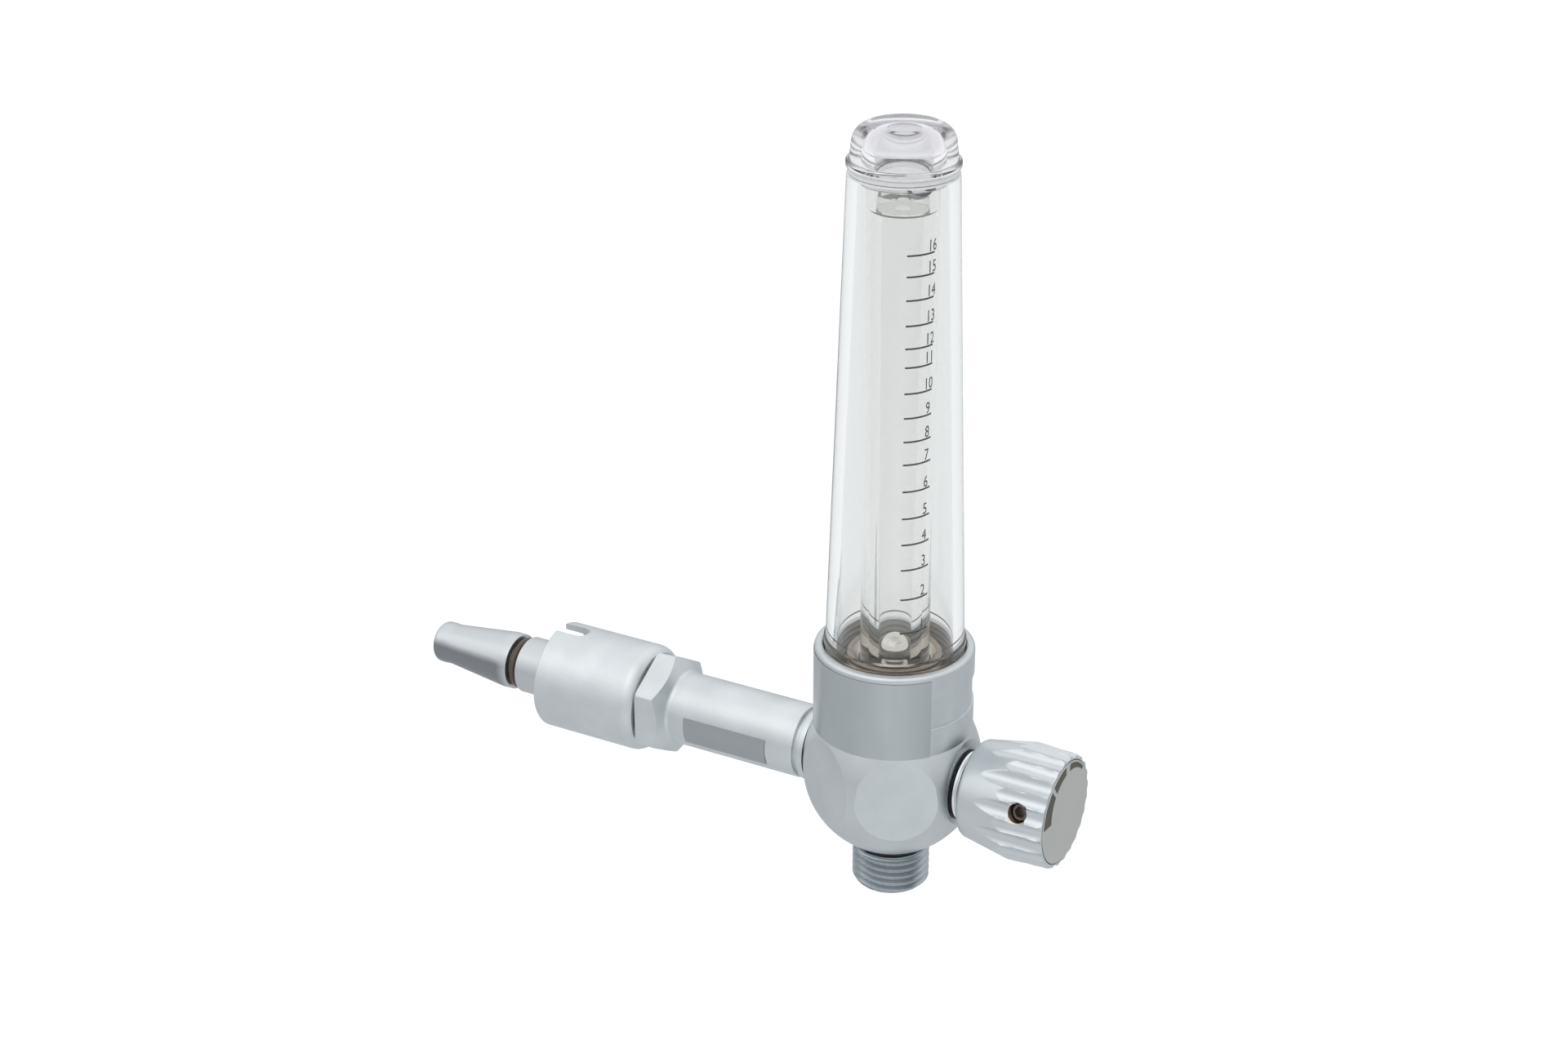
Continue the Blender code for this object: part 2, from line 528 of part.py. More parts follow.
def make_probe():
    """Probe nose with its O-ring: a slender cone behind a rounded tip, screwed into the stem's end."""
    tip = -WALL_TO_TUBE - PROBE_REACH
    rounding = PROBE_TIP_ROUNDING
    waist_radius = PROBE_TIP_RADIUS - PROBE_WAIST_DEPTH
    groove_front = O_RING_GROOVE_X - O_RING_GROOVE_WIDTH / 2
    groove_back = O_RING_GROOVE_X + O_RING_GROOVE_WIDTH / 2
    cone_start = tip + PROBE_WAIST_X
    cone_end = groove_front - O_RING_GROOVE_LIP
    rear = SOCKET_FLOOR_X - SNUG
    outline = [(PROBE_BODY_RADIUS, rear), (PROBE_BODY_RADIUS, groove_back + EDGE),
               (PROBE_BODY_RADIUS - EDGE, groove_back), (O_RING_GROOVE_RADIUS, groove_back),
               (O_RING_GROOVE_RADIUS, groove_front), (PROBE_CONE_RADIUS - EDGE, groove_front),
               (PROBE_CONE_RADIUS, groove_front - EDGE), (PROBE_CONE_RADIUS, cone_end)]
    outline += [(waist_radius, cone_start), (PROBE_TIP_RADIUS, tip + PROBE_BULGE_X)]
    outline += arc(PROBE_TIP_RADIUS - rounding, tip + rounding, rounding, 0, -90, 4)
    outline += [(PROBE_BORE_RADIUS + EDGE, tip), (PROBE_BORE_RADIUS, tip + EDGE), (PROBE_BORE_RADIUS, rear)]
    turned("probe_nose", outline, PROBE_AXIS, finish("probe_nose", (0.6, 0.62, 0.63), 0.2, 1.0), SMALL,
           closed=True)
    ring("probe_o_ring", O_RING_GROOVE_RADIUS + SNUG + PROBE_O_RING_THICKNESS / 2, PROBE_O_RING_THICKNESS,
         O_RING_GROOVE_X, PROBE_AXIS, rubber("probe_o_ring", (0.35, 0.2, 0.06)))


def make_tube_seat():
    """Turned seat in the body's cup: ridged outside, a socket for the tube and a jet the float rests on."""
    bottom = RECESS_FLOOR_Z + SNUG
    pocket_bottom = RECESS_FLOOR_Z - SEAT_POCKET_DEPTH + SEAT_CHAMBER_HEIGHT
    socket = TUBE_RADIUS + FIT
    socket_floor = TUBE_BOTTOM_Z - FIT
    seal_room = socket + TUBE_SEAL_THICKNESS
    seal_floor = socket_floor + TUBE_SEAL_HEIGHT
    seal_roof = seal_floor + TUBE_SEAL_ROOM
    outline = [(SEAT_MOUTH_RADIUS, SEAT_TOP_Z), (SEAT_RADIUS, SEAT_TOP_Z)]
    ridges = int((SEAT_TOP_Z - SEAT_LIP - bottom) / SEAT_RIDGE_PITCH)
    for i in range(ridges):
        top = SEAT_TOP_Z - SEAT_LIP - i * SEAT_RIDGE_PITCH
        outline += [(SEAT_RADIUS, top), (SEAT_RADIUS - SEAT_RIDGE_DEPTH, top - SEAT_RIDGE_PITCH / 4),
                    (SEAT_RADIUS, top - SEAT_RIDGE_PITCH / 2)]
    outline += [(SEAT_RADIUS, bottom), (SEAT_POCKET_RADIUS - FIT, bottom),
                (SEAT_POCKET_RADIUS - FIT, pocket_bottom), (JET_HOLE_RADIUS, pocket_bottom),
                (JET_HOLE_RADIUS, JET_TOP_Z - EDGE), (JET_MOUTH_RADIUS, JET_TOP_Z),
                (JET_RADIUS, JET_TOP_Z - EDGE), (JET_RADIUS, socket_floor), (socket, socket_floor),
                (socket, seal_floor), (seal_room, seal_floor), (seal_room, seal_roof), (socket, seal_roof),
                (socket, SEAT_TOP_Z - SEAT_MOUTH_DEPTH)]
    turned("tube_seat", outline, TUBE_AXIS, finish("tube_seat", (0.55, 0.42, 0.25), 0.35, 1.0), SMALL,
           closed=True)
    ring("lower_tube_seal", TUBE_RADIUS + SNUG + TUBE_SEAL_THICKNESS / 2, TUBE_SEAL_THICKNESS,
         (seal_floor + seal_roof) / 2, TUBE_AXIS, rubber("lower_tube_seal", (0.16, 0.08, 0.04)))


def make_flow_tube():
    """Clear measuring tube with a tapered bore, vented at the top, and the steel ball that rides in it."""
    outline = [(TUBE_RADIUS - EDGE, TUBE_TOP_Z), (TUBE_RADIUS, TUBE_TOP_Z - EDGE),
               (TUBE_RADIUS, TUBE_BOTTOM_Z + EDGE), (TUBE_RADIUS - EDGE, TUBE_BOTTOM_Z),
               (BORE_BOTTOM_RADIUS, TUBE_BOTTOM_Z), (BORE_BOTTOM_RADIUS, BORE_TAPER_START_Z),
               (BORE_TOP_RADIUS, STOP_POCKET_Z), (STOP_POCKET_RADIUS, STOP_POCKET_Z),
               (STOP_POCKET_RADIUS, TUBE_TOP_Z)]
    tube = turned("flow_tube", outline, TUBE_AXIS, clear_plastic("flow_tube"), MEDIUM, closed=True)
    vent = rod("vent", VENT_RADIUS, STOP_POCKET_RADIUS - OVERRUN, TUBE_RADIUS + OVERRUN, TUBE_AXIS, 20)
    vent.location = (0, 0, TUBE_TOP_Z)
    vent.rotation_euler = (0, math.radians(90), VENT_DIRECTION)
    cut(tube, vent)
    rest = JET_TOP_Z + math.sqrt(FLOAT_RADIUS ** 2 - JET_MOUTH_RADIUS ** 2) + FLOAT_REST_GAP
    mesh = bpy.data.meshes.new("float_ball")
    shape = bmesh.new()
    bmesh.ops.create_uvsphere(shape, u_segments=16, v_segments=10, radius=FLOAT_RADIUS)
    shape.to_mesh(mesh)
    shape.free()
    mesh.shade_smooth()
    ball = add_object("float_ball", mesh, TUBE_AXIS, finish("float_ball", (0.6, 0.58, 0.55), 0.15, 1.0))
    ball.location = (0, 0, rest)
    washer("float_stop", STOP_POCKET_RADIUS - FIT, STOP_HOLE_RADIUS, STOP_POCKET_Z + SNUG + STOP_HEIGHT,
           STOP_HEIGHT, TUBE_AXIS, clear_plastic("float_stop"))


CAP_FLANGE_BOTTOM_Z = COVER_TOP_Z + CAP_GASKET_HEIGHT + 2 * SNUG


def make_cover():
    """Clear outer cover, drafted to draw from its mould, with a beaded foot screwed into the body's cup."""
    bead = COVER_BEAD_ROUNDING
    inner_top = COVER_TOP_RADIUS - COVER_WALL
    inner_base = COVER_BASE_RADIUS - COVER_WALL
    bead_bottom = BODY_RIM_Z + FIT
    outline = [(COVER_TOP_RADIUS, COVER_TOP_Z), (COVER_BASE_RADIUS, COVER_BASE_Z),
               (COVER_BEAD_RADIUS, COVER_BASE_Z - bead), (COVER_BEAD_RADIUS, bead_bottom),
               (COVER_FOOT_RADIUS, bead_bottom - bead), (COVER_FOOT_RADIUS, COVER_FOOT_Z),
               (inner_base, COVER_FOOT_Z), (inner_base, COVER_BASE_Z), (inner_top, COVER_TOP_Z)]
    turned("outer_cover", outline, TUBE_AXIS, clear_plastic("outer_cover"), FINE, closed=True)
    washer("cover_gasket", COVER_FOOT_RADIUS - SNUG, inner_base + SNUG, COVER_FOOT_Z - SNUG,
           COVER_FOOT_Z - RECESS_FLOOR_Z - 2 * SNUG, TUBE_AXIS,
           rubber("cover_gasket", (0.25, 0.15, 0.08)), MEDIUM)


def make_cap():
    """Domed clear cap: its flange sits on the cover over a gasket, its spigot holds the tube's top."""
    socket = TUBE_RADIUS + FIT
    shoulder = TUBE_TOP_Z + CUSHION_HEIGHT + 2 * SNUG
    hollow = TUBE_RADIUS - CUSHION_WIDTH
    roof = CAP_TOP_Z - CAP_ROOF
    flange_top = CAP_FLANGE_BOTTOM_Z + CAP_FLANGE_HEIGHT
    outline = [(0, CAP_TOP_Z)]
    outline += arc(CAP_RADIUS - CAP_CORNER_RADIUS, CAP_TOP_Z - CAP_CORNER_RADIUS, CAP_CORNER_RADIUS, 90, 0, 5)
    outline += [(CAP_RADIUS + CAP_SKIRT, flange_top), (CAP_FLANGE_RADIUS - EDGE, flange_top),
                (CAP_FLANGE_RADIUS, flange_top - EDGE), (CAP_FLANGE_RADIUS, CAP_FLANGE_BOTTOM_Z + EDGE),
                (CAP_FLANGE_RADIUS - EDGE, CAP_FLANGE_BOTTOM_Z), (CAP_SPIGOT_RADIUS, CAP_FLANGE_BOTTOM_Z),
                (CAP_SPIGOT_RADIUS, CAP_SPIGOT_Z), (socket, CAP_SPIGOT_Z), (socket, shoulder),
                (hollow, shoulder), (hollow, roof - CAP_HOLLOW_CONE),
                (CAP_HOLLOW_TOP_RADIUS, roof), (0, roof)]
    turned("cover_cap", outline, TUBE_AXIS, clear_plastic("cover_cap"), MEDIUM, closed=False)
    washer("cap_gasket", COVER_TOP_RADIUS - SNUG, CAP_SPIGOT_RADIUS + SNUG,
           COVER_TOP_Z + SNUG + CAP_GASKET_HEIGHT, CAP_GASKET_HEIGHT, TUBE_AXIS,
           clear_plastic("cap_gasket"), MEDIUM)
    washer("tube_cushion", TUBE_RADIUS, hollow, TUBE_TOP_Z + SNUG + CUSHION_HEIGHT, CUSHION_HEIGHT,
           TUBE_AXIS, rubber("tube_cushion", (0.5, 0.5, 0.5)))


def make_valve():
    """Needle valve: seat insert, spindle with its needle, and the chromed bonnet that guides and seals it."""
    seat_end = VALVE_BORE_END_X + FIT + VALVE_SEAT_WIDTH
    washer("valve_seat", VALVE_BORE_RADIUS - FIT, VALVE_SEAT_HOLE_RADIUS, seat_end, VALVE_SEAT_WIDTH,
           PROBE_AXIS, finish("valve_seat", (0.9, 0.9, 0.88), 0.4, 0.0))
    needle_root = VALVE_SEAT_HOLE_RADIUS - SNUG
    spindle = [(0, SPINDLE_END_X), (SPINDLE_RADIUS - EDGE, SPINDLE_END_X),
               (SPINDLE_RADIUS, SPINDLE_END_X - EDGE),
               (SPINDLE_RADIUS, SPINDLE_THREAD_X + SPINDLE_THREAD_LENGTH),
               (SPINDLE_THREAD_RADIUS, SPINDLE_THREAD_X + SPINDLE_THREAD_LENGTH),
               (SPINDLE_THREAD_RADIUS, SPINDLE_THREAD_X), (SPINDLE_RADIUS, SPINDLE_THREAD_X),
               (SPINDLE_RADIUS, seat_end + 2 * FIT), (needle_root, seat_end + 2 * FIT - NEEDLE_SHOULDER),
               (needle_root, seat_end - NEEDLE_SHOULDER), (NEEDLE_TIP_RADIUS, NEEDLE_TIP_X),
               (0, NEEDLE_TIP_X)]
    turned("valve_spindle", spindle, PROBE_AXIS, finish("valve_spindle", (0.6, 0.6, 0.6), 0.25, 1.0), COARSE,
           closed=False)
    bore = SPINDLE_RADIUS + FIT
    thread_room = SPINDLE_THREAD_RADIUS + FIT
    room_end = SPINDLE_THREAD_X + SPINDLE_THREAD_LENGTH + SPINDLE_TRAVEL + SNUG
    gland = bore + SPINDLE_SEAL_THICKNESS
    gland_start = SPINDLE_SEAL_X - SPINDLE_SEAL_THICKNESS / 2 - SNUG
    gland_end = SPINDLE_SEAL_X + SPINDLE_SEAL_THICKNESS / 2 + SNUG
    flange_end = BONNET_FLANGE_X + BONNET_FLANGE_WIDTH
    waist = BONNET_FLANGE_RADIUS - BONNET_WAIST_DEPTH
    groove = BONNET_NECK_RADIUS - BONNET_GROOVE_DEPTH
    groove_end = flange_end + BONNET_GROOVE_WIDTH
    bonnet = [(BONNET_NECK_RADIUS - EDGE, BONNET_END_X), (BONNET_NECK_RADIUS, BONNET_END_X - EDGE),
              (BONNET_NECK_RADIUS, groove_end), (groove, groove_end), (groove, flange_end),
              (BONNET_FLANGE_RADIUS, flange_end),
              (waist, BONNET_FLANGE_X + BONNET_FLANGE_WIDTH / 2), (BONNET_FLANGE_RADIUS, BONNET_FLANGE_X),
              (VALVE_BORE_RADIUS - FIT, BONNET_FLANGE_X), (VALVE_BORE_RADIUS - FIT, BONNET_START_X),
              (thread_room, BONNET_START_X), (thread_room, room_end), (bore, room_end), (bore, gland_start),
              (gland, gland_start), (gland, gland_end), (bore, gland_end), (bore, BONNET_END_X)]
    turned("valve_bonnet", bonnet, PROBE_AXIS, finish("valve_bonnet", (0.75, 0.77, 0.78), 0.1, 1.0), SMALL,
           closed=True)
    seal_room = BONNET_FLANGE_X - BODY_FLAT_X
    washer("bonnet_seal", BONNET_SEAL_RADIUS, VALVE_BORE_RADIUS - FIT + SNUG, BONNET_FLANGE_X - SNUG,
           seal_room - 2 * SNUG, PROBE_AXIS, rubber("bonnet_seal"), SMALL)
    ring("spindle_seal", SPINDLE_RADIUS + SNUG + SPINDLE_SEAL_THICKNESS / 2, SPINDLE_SEAL_THICKNESS,
         SPINDLE_SEAL_X, PROBE_AXIS, rubber("spindle_seal"))


def knob_radius(x):
    """Radius of the knob's unfluted skin at x, a cone up to the shoulder."""
    share = min(1.0, (x - KNOB_BACK_X) / (KNOB_SHOULDER_X - KNOB_BACK_X))
    return KNOB_BACK_RADIUS + (KNOB_RADIUS - KNOB_BACK_RADIUS) * share


def flute_cutter(name, start_x, direction):
    """A round rod laid along the knob's skin, which it enters at start_x and has sunk into at the front."""
    end_x = KNOB_FACE_X + OVERRUN
    start_height = knob_radius(start_x) + FLUTE_RADIUS
    end_height = KNOB_RADIUS + FLUTE_RADIUS - FLUTE_DEPTH
    rise = (end_height - start_height) / (end_x - start_x)
    back = 3 * OVERRUN
    shape = bmesh.new()
    bmesh.ops.create_cone(shape, cap_ends=True, segments=10, radius1=FLUTE_RADIUS, radius2=FLUTE_RADIUS,
                          depth=end_x - start_x + back)
    for vertex in shape.verts:
        x = vertex.co.z + (start_x + end_x - back) / 2
        height = vertex.co.x + start_height + rise * (x - start_x)
        vertex.co = (-height * math.sin(direction) - vertex.co.y * math.cos(direction),
                     height * math.cos(direction) - vertex.co.y * math.sin(direction), x)
    bmesh.ops.recalc_face_normals(shape, faces=shape.faces)
    return mesh_cutter(name, shape, PROBE_AXIS)


def make_knob():
    """Die-cast knob with alternating long and short flutes, its face disc and its clamping screw."""
    rounding = KNOB_BACK_ROUNDING
    bore = SPINDLE_RADIUS + FIT
    cap_floor = KNOB_FACE_X - KNOB_CAP_THICKNESS
    outline = [(KNOB_FACE_RADIUS, KNOB_FACE_X), (KNOB_RADIUS, KNOB_CHAMFER_X), (KNOB_RADIUS, KNOB_SHOULDER_X)]
    back_radius = knob_radius(KNOB_BACK_X + rounding)
    outline += arc(back_radius - rounding, KNOB_BACK_X + rounding, rounding, 0, -90, 3)
    outline += [(KNOB_HOLLOW_RADIUS, KNOB_BACK_X), (KNOB_HOLLOW_RADIUS, KNOB_BACK_X + KNOB_HOLLOW_DEPTH),
                (bore, KNOB_BACK_X + KNOB_HOLLOW_DEPTH), (bore, cap_floor - FIT),
                (KNOB_CAP_RADIUS + SNUG, cap_floor - FIT), (KNOB_CAP_RADIUS + SNUG, KNOB_FACE_X)]
    knob = turned("control_knob", outline, PROBE_AXIS, satin_metal("control_knob"), KNOB_FACETS, closed=True)
    for i in range(FLUTE_PAIRS):
        direction = SCREW_DIRECTION + 2 * math.pi * i / FLUTE_PAIRS
        between = direction + math.pi / FLUTE_PAIRS
        cut(knob, flute_cutter(f"long_flute_{i + 1}", LONG_FLUTE_START_X, direction))
        cut(knob, flute_cutter(f"short_flute_{i + 1}", SHORT_FLUTE_START_X, between))
    hole_turn = (math.radians(-90), 0, SCREW_DIRECTION)
    skin = KNOB_RADIUS - FLUTE_DEPTH
    sink_depth = SCREW_SINK_RADIUS - SCREW_RADIUS
    hole = rod("screw_hole", SCREW_RADIUS + FIT, bore / 2, KNOB_RADIUS + OVERRUN, PROBE_AXIS, COARSE)
    sink = rod("screw_sink", SCREW_RADIUS, skin - sink_depth, skin + OVERRUN, PROBE_AXIS, COARSE,
               end_radius=SCREW_SINK_RADIUS + OVERRUN)
    for cutter in (hole, sink):
        cutter.location = (0, 0, SCREW_X)
        cutter.rotation_euler = hole_turn
        cut(knob, cutter)
    screw_top = bore + SCREW_LENGTH
    outline = [(0, screw_top), (SCREW_RADIUS - EDGE, screw_top), (SCREW_RADIUS, screw_top - EDGE),
               (SCREW_RADIUS, bore + SCREW_POINT), (SCREW_RADIUS - SCREW_POINT, bore), (0, bore)]
    screw = turned("set_screw", outline, PROBE_AXIS, finish("set_screw", (0.03, 0.03, 0.03), 0.35, 1.0),
                   COARSE, closed=False)
    socket = hexagon("screw_socket", SCREW_SOCKET_ACROSS, screw_top - SCREW_SOCKET_DEPTH, screw_top + OVERRUN,
                     PROBE_AXIS)
    for thing in (screw, socket):
        thing.location = (0, 0, SCREW_X)
        thing.rotation_euler = hole_turn
    cut(screw, socket)
    face = KNOB_FACE_X + SNUG
    outline = [(0, face), (KNOB_CAP_RADIUS - SNUG, face), (KNOB_CAP_RADIUS, face - SNUG),
               (KNOB_CAP_RADIUS, cap_floor), (SPINDLE_RADIUS, cap_floor),
               (SPINDLE_RADIUS, cap_floor - KNOB_CAP_SPIGOT_LENGTH), (0, cap_floor - KNOB_CAP_SPIGOT_LENGTH)]
    turned("knob_cap", outline, PROBE_AXIS, finish("knob_cap", (0.62, 0.64, 0.64), 0.3, 1.0), MEDIUM,
           closed=False)


def curved_film(name, radius, start, sweep, bottom, height, axis, look, columns):
    """A thin film on a cylinder, from a bent sheet that is given its thickness."""
    shape = bmesh.new()
    bmesh.ops.create_grid(shape, x_segments=columns, y_segments=1, size=0.5)
    for vertex in shape.verts:
        angle = start + sweep * (vertex.co.x + 0.5)
        level = bottom + height * (vertex.co.y + 0.5)
        vertex.co = (radius * math.cos(angle), radius * math.sin(angle), level)
    mesh = bpy.data.meshes.new(name)
    shape.to_mesh(mesh)
    shape.free()
    mesh.shade_smooth()
    film = add_object(name, mesh, axis, look)
    wall = film.modifiers.new("film", "SOLIDIFY")
    wall.thickness = FILM
    wall.offset = 1
    return film


def make_labels():
    """Bare label films: one wrapped round the body's cylinder, one on the stem."""
    look = finish("body_label", (0.56, 0.6, 0.61), 0.3, 0.6)
    curved_film("body_label", BODY_RADIUS + FILM_GAP, BODY_LABEL_START - BODY_LABEL_SWEEP, BODY_LABEL_SWEEP,
                CYLINDER_BOTTOM_Z, BODY_LABEL_TOP_Z - CYLINDER_BOTTOM_Z, TUBE_AXIS, look, 22)
    look = finish("stem_label", (0.55, 0.57, 0.58), 0.35, 0.5)
    # The probe axis's local X points down, so world angles about X are measured back from local Y
    start = STEM_LABEL_START + math.radians(90)
    curved_film("stem_label", STEM_RADIUS + FILM_GAP, start, STEM_LABEL_SWEEP,
                STEM_LABEL_START_X - STEM_LABEL_LENGTH, STEM_LABEL_LENGTH, PROBE_AXIS, look, 6)


make_body()
make_outlet()
make_inlet_stem()
make_collar()
make_probe()
make_tube_seat()
make_flow_tube()
make_cover()
make_cap()
make_valve()
make_knob()
make_labels()
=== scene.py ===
import math

import bpy
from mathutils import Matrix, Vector


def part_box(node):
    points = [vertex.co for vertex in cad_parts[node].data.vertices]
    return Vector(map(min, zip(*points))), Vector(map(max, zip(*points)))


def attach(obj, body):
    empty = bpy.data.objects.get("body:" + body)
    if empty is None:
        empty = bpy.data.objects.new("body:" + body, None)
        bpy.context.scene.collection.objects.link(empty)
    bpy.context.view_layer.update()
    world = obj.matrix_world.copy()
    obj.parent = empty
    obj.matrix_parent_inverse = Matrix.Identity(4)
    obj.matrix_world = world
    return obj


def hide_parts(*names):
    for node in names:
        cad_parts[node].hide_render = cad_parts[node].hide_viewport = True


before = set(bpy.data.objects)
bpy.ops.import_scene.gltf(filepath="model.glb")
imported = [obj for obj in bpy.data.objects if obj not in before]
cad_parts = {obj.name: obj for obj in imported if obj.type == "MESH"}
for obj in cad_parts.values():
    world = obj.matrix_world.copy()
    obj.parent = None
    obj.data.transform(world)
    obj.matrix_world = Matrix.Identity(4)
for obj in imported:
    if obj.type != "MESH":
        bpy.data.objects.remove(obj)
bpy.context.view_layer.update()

# The studio: the photograph's viewpoint, a pale sweep under the meter, an even tent of light over it and
# two soft boxes. The wall terminal that holds the meter by its probe isn't drawn, so it hangs over the sweep.
MM = 0.001
VIEW_TARGET = Vector((45.3, 7.8, 39.6)) * MM
VIEW_DIRECTION = Vector((-0.44694, 0.79069, -0.41840))
VIEW_DISTANCE = 503 * MM
VIEW_LENS = 62.63
SWEEP_Z = -170 * MM
SWEEP_SIZE = 9.0
PAINTED_LIGHT_POOL = Vector((0.29, -0.40, 0))
PAINTED_LIGHT_POOL_SIZE = 0.75

bpy.ops.object.camera_add(location=VIEW_TARGET - VIEW_DIRECTION * VIEW_DISTANCE)
camera = bpy.context.object
camera.name = "viewpoint"
camera.rotation_euler = VIEW_DIRECTION.to_track_quat("-Z", "Y").to_euler()
camera.data.lens = VIEW_LENS
camera.data.clip_start = 10 * MM
bpy.context.scene.camera = camera
bpy.context.scene.view_settings.view_transform = "Standard"


class Signal:
    """A socket of a node tree, or the tree itself. Arithmetic on a socket adds Math nodes."""

    def __init__(self, tree, socket=None):
        self.tree = tree
        self.socket = socket

    def node(self, kind, settings=None, inputs=None, output=0):
        """Adds any node: its settings first, then the values or links of its sockets."""
        node = self.tree.nodes.new(kind)
        for setting, value in (settings or {}).items():
            if setting == "stops":
                ramp = node.color_ramp
                while len(ramp.elements) < len(value):
                    ramp.elements.new(0.5)
                for stop, (place, colour) in zip(ramp.elements, value):
                    stop.position = place
                    stop.color = (*colour, 1)
            else:
                setattr(node, setting, value)
        for name, value in (inputs or {}).items():
            if isinstance(value, Signal):
                self.tree.links.new(value.socket, node.inputs[name])
            else:
                node.inputs[name].default_value = value
        return Signal(self.tree, node.outputs[output] if node.outputs else None)

    def __add__(self, other):
        return self.node("ShaderNodeMath", {"operation": "ADD"}, {0: self, 1: other})

    __radd__ = __add__

    def __sub__(self, other):
        return self.node("ShaderNodeMath", {"operation": "SUBTRACT"}, {0: self, 1: other})

    def __rsub__(self, other):
        return self.node("ShaderNodeMath", {"operation": "SUBTRACT"}, {0: other, 1: self})

    def __mul__(self, other):
        return self.node("ShaderNodeMath", {"operation": "MULTIPLY"}, {0: self, 1: other})

    __rmul__ = __mul__

    def __truediv__(self, other):
        return self.node("ShaderNodeMath", {"operation": "DIVIDE"}, {0: self, 1: other})

    def __rtruediv__(self, other):
        return self.node("ShaderNodeMath", {"operation": "DIVIDE"}, {0: other, 1: self})


def seen_rays(start):
    """1 for the rays that show the background: straight from the camera, or through clear plastic."""
    return (start.node("ShaderNodeLightPath", output="Is Camera Ray")
            + start.node("ShaderNodeLightPath", output="Is Transmission Ray"))


world = bpy.data.worlds.new("studio")
bpy.context.scene.world = world
world.use_nodes = True
world.node_tree.nodes.clear()
tent = Signal(world.node_tree)
direction = tent.node("ShaderNodeTexCoord", output="Generated")
height = tent.node("ShaderNodeSeparateXYZ", inputs={0: direction}, output="Z")
tent_stops = [(0.0, (0.70, 0.72, 0.73)), (0.47, (0.66, 0.67, 0.70)), (0.56, (0.70, 0.71, 0.74)),
              (0.70, (0.86, 0.88, 0.90)), (0.90, (1.02, 1.04, 1.06)), (1.0, (1.02, 1.04, 1.06))]
tent_light = tent.node("ShaderNodeValToRGB", {"stops": tent_stops}, {"Fac": height * 0.5 + 0.5})
shown = tent.node("ShaderNodeMix", {"data_type": "RGBA"},
                  {0: seen_rays(tent), 6: tent_light, 7: (1, 1, 1, 1)}, 2)
light = tent.node("ShaderNodeBackground", inputs={"Color": shown})
tent.node("ShaderNodeOutputWorld", inputs={"Surface": light})

bpy.ops.mesh.primitive_plane_add(size=SWEEP_SIZE, location=(0, 0, SWEEP_Z))
sweep = bpy.context.object
sweep.name = "sweep"
white = bpy.data.materials.new("white_sweep")
white.use_nodes = True
white.node_tree.nodes.clear()
paint = Signal(white.node_tree)
# Painted light: the sweep's paint is lighter in a round pool in front of the meter and greyer elsewhere. Only
# reflections show it, since the camera and clear plastic see the sweep white.
place = paint.node("ShaderNodeTexCoord", output="Object")
from_painted_pool = paint.node("ShaderNodeMapping", {"vector_type": "TEXTURE"}, {
    "Vector": place, "Location": PAINTED_LIGHT_POOL, "Scale": (PAINTED_LIGHT_POOL_SIZE,) * 3})
painted_light_pool = paint.node("ShaderNodeTexGradient", {"gradient_type": "QUADRATIC_SPHERE"}, {"Vector": from_painted_pool}, 1)
tone = paint.node("ShaderNodeMix", {"data_type": "RGBA"},
                  {0: painted_light_pool, 6: (0.58, 0.59, 0.60, 1), 7: (0.93, 0.94, 0.94, 1)}, 2)
painted = paint.node("ShaderNodeBsdfDiffuse", inputs={"Color": tone})
SWEEP_GLOW = 0.5
glow = paint.node("ShaderNodeEmission", inputs={"Strength": seen_rays(paint) * SWEEP_GLOW})
both = paint.node("ShaderNodeAddShader", inputs={0: painted, 1: glow})
paint.node("ShaderNodeOutputMaterial", inputs={"Surface": both})
sweep.data.materials.append(white)


def soft_box(name, place, size, power):
    """A square studio lamp that faces the meter."""
    bpy.ops.object.light_add(type="AREA", location=place)
    lamp = bpy.context.object
    lamp.name = name
    lamp.rotation_euler = (VIEW_TARGET - Vector(place)).to_track_quat("-Z", "Y").to_euler()
    lamp.data.size = size
    lamp.data.energy = power


soft_box("key_soft_box", (0.0, -0.7, 1.1), size=1.1, power=1.2)
soft_box("left_soft_box", (-1.0, -0.5, 0.6), size=0.9, power=0.5)

# Body: satin plated metal turned from hexagon bar. A cup for the clear cover stands on a ball, whose six
# wrench flats are what is left of the bar. Holes in its sides and underside take the stem, valve and nipple,
# and the cup's wall inside is painted a pale matt tone: painted light that lifts the shade in the cup.
body_low, body_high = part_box("flowmeter_body")
TUBE_X = (body_low.x + body_high.x) / 2
TUBE_CENTRE = Vector((TUBE_X, 0, 0))
ROUNDING_EDGES = 6


def rounded(outline):
    """Points of an outline of (radius, height, rounding) corners, each rounding drawn as short edges."""
    points = []
    for i, (radius, height, *rounding) in enumerate(outline):
        corner = Vector((radius, height))
        if not rounding:
            points.append(corner)
            continue
        back = (Vector(outline[i - 1][:2]) - corner).normalized()
        ahead = (Vector(outline[(i + 1) % len(outline)][:2]) - corner).normalized()
        half = back.angle(ahead) / 2
        centre = corner + (back + ahead).normalized() * rounding[0] / math.sin(half)
        start = (corner + back * rounding[0] / math.tan(half) - centre).normalized()
        end = (corner + ahead * rounding[0] / math.tan(half) - centre).normalized()
        for step in range(ROUNDING_EDGES + 1):
            points.append(centre + start.slerp(end, step / ROUNDING_EDGES) * rounding[0])
    return points


def arc(centre_radius, centre_height, radius, start, end, edges):
    """Points of an outline on an arc, from angle start to end in degrees, 0 outwards and 90 up."""
    turns = [math.radians(start + (end - start) * i / edges) for i in range(edges + 1)]
    return [(centre_radius + radius * math.cos(turn), centre_height + radius * math.sin(turn))
            for turn in turns]


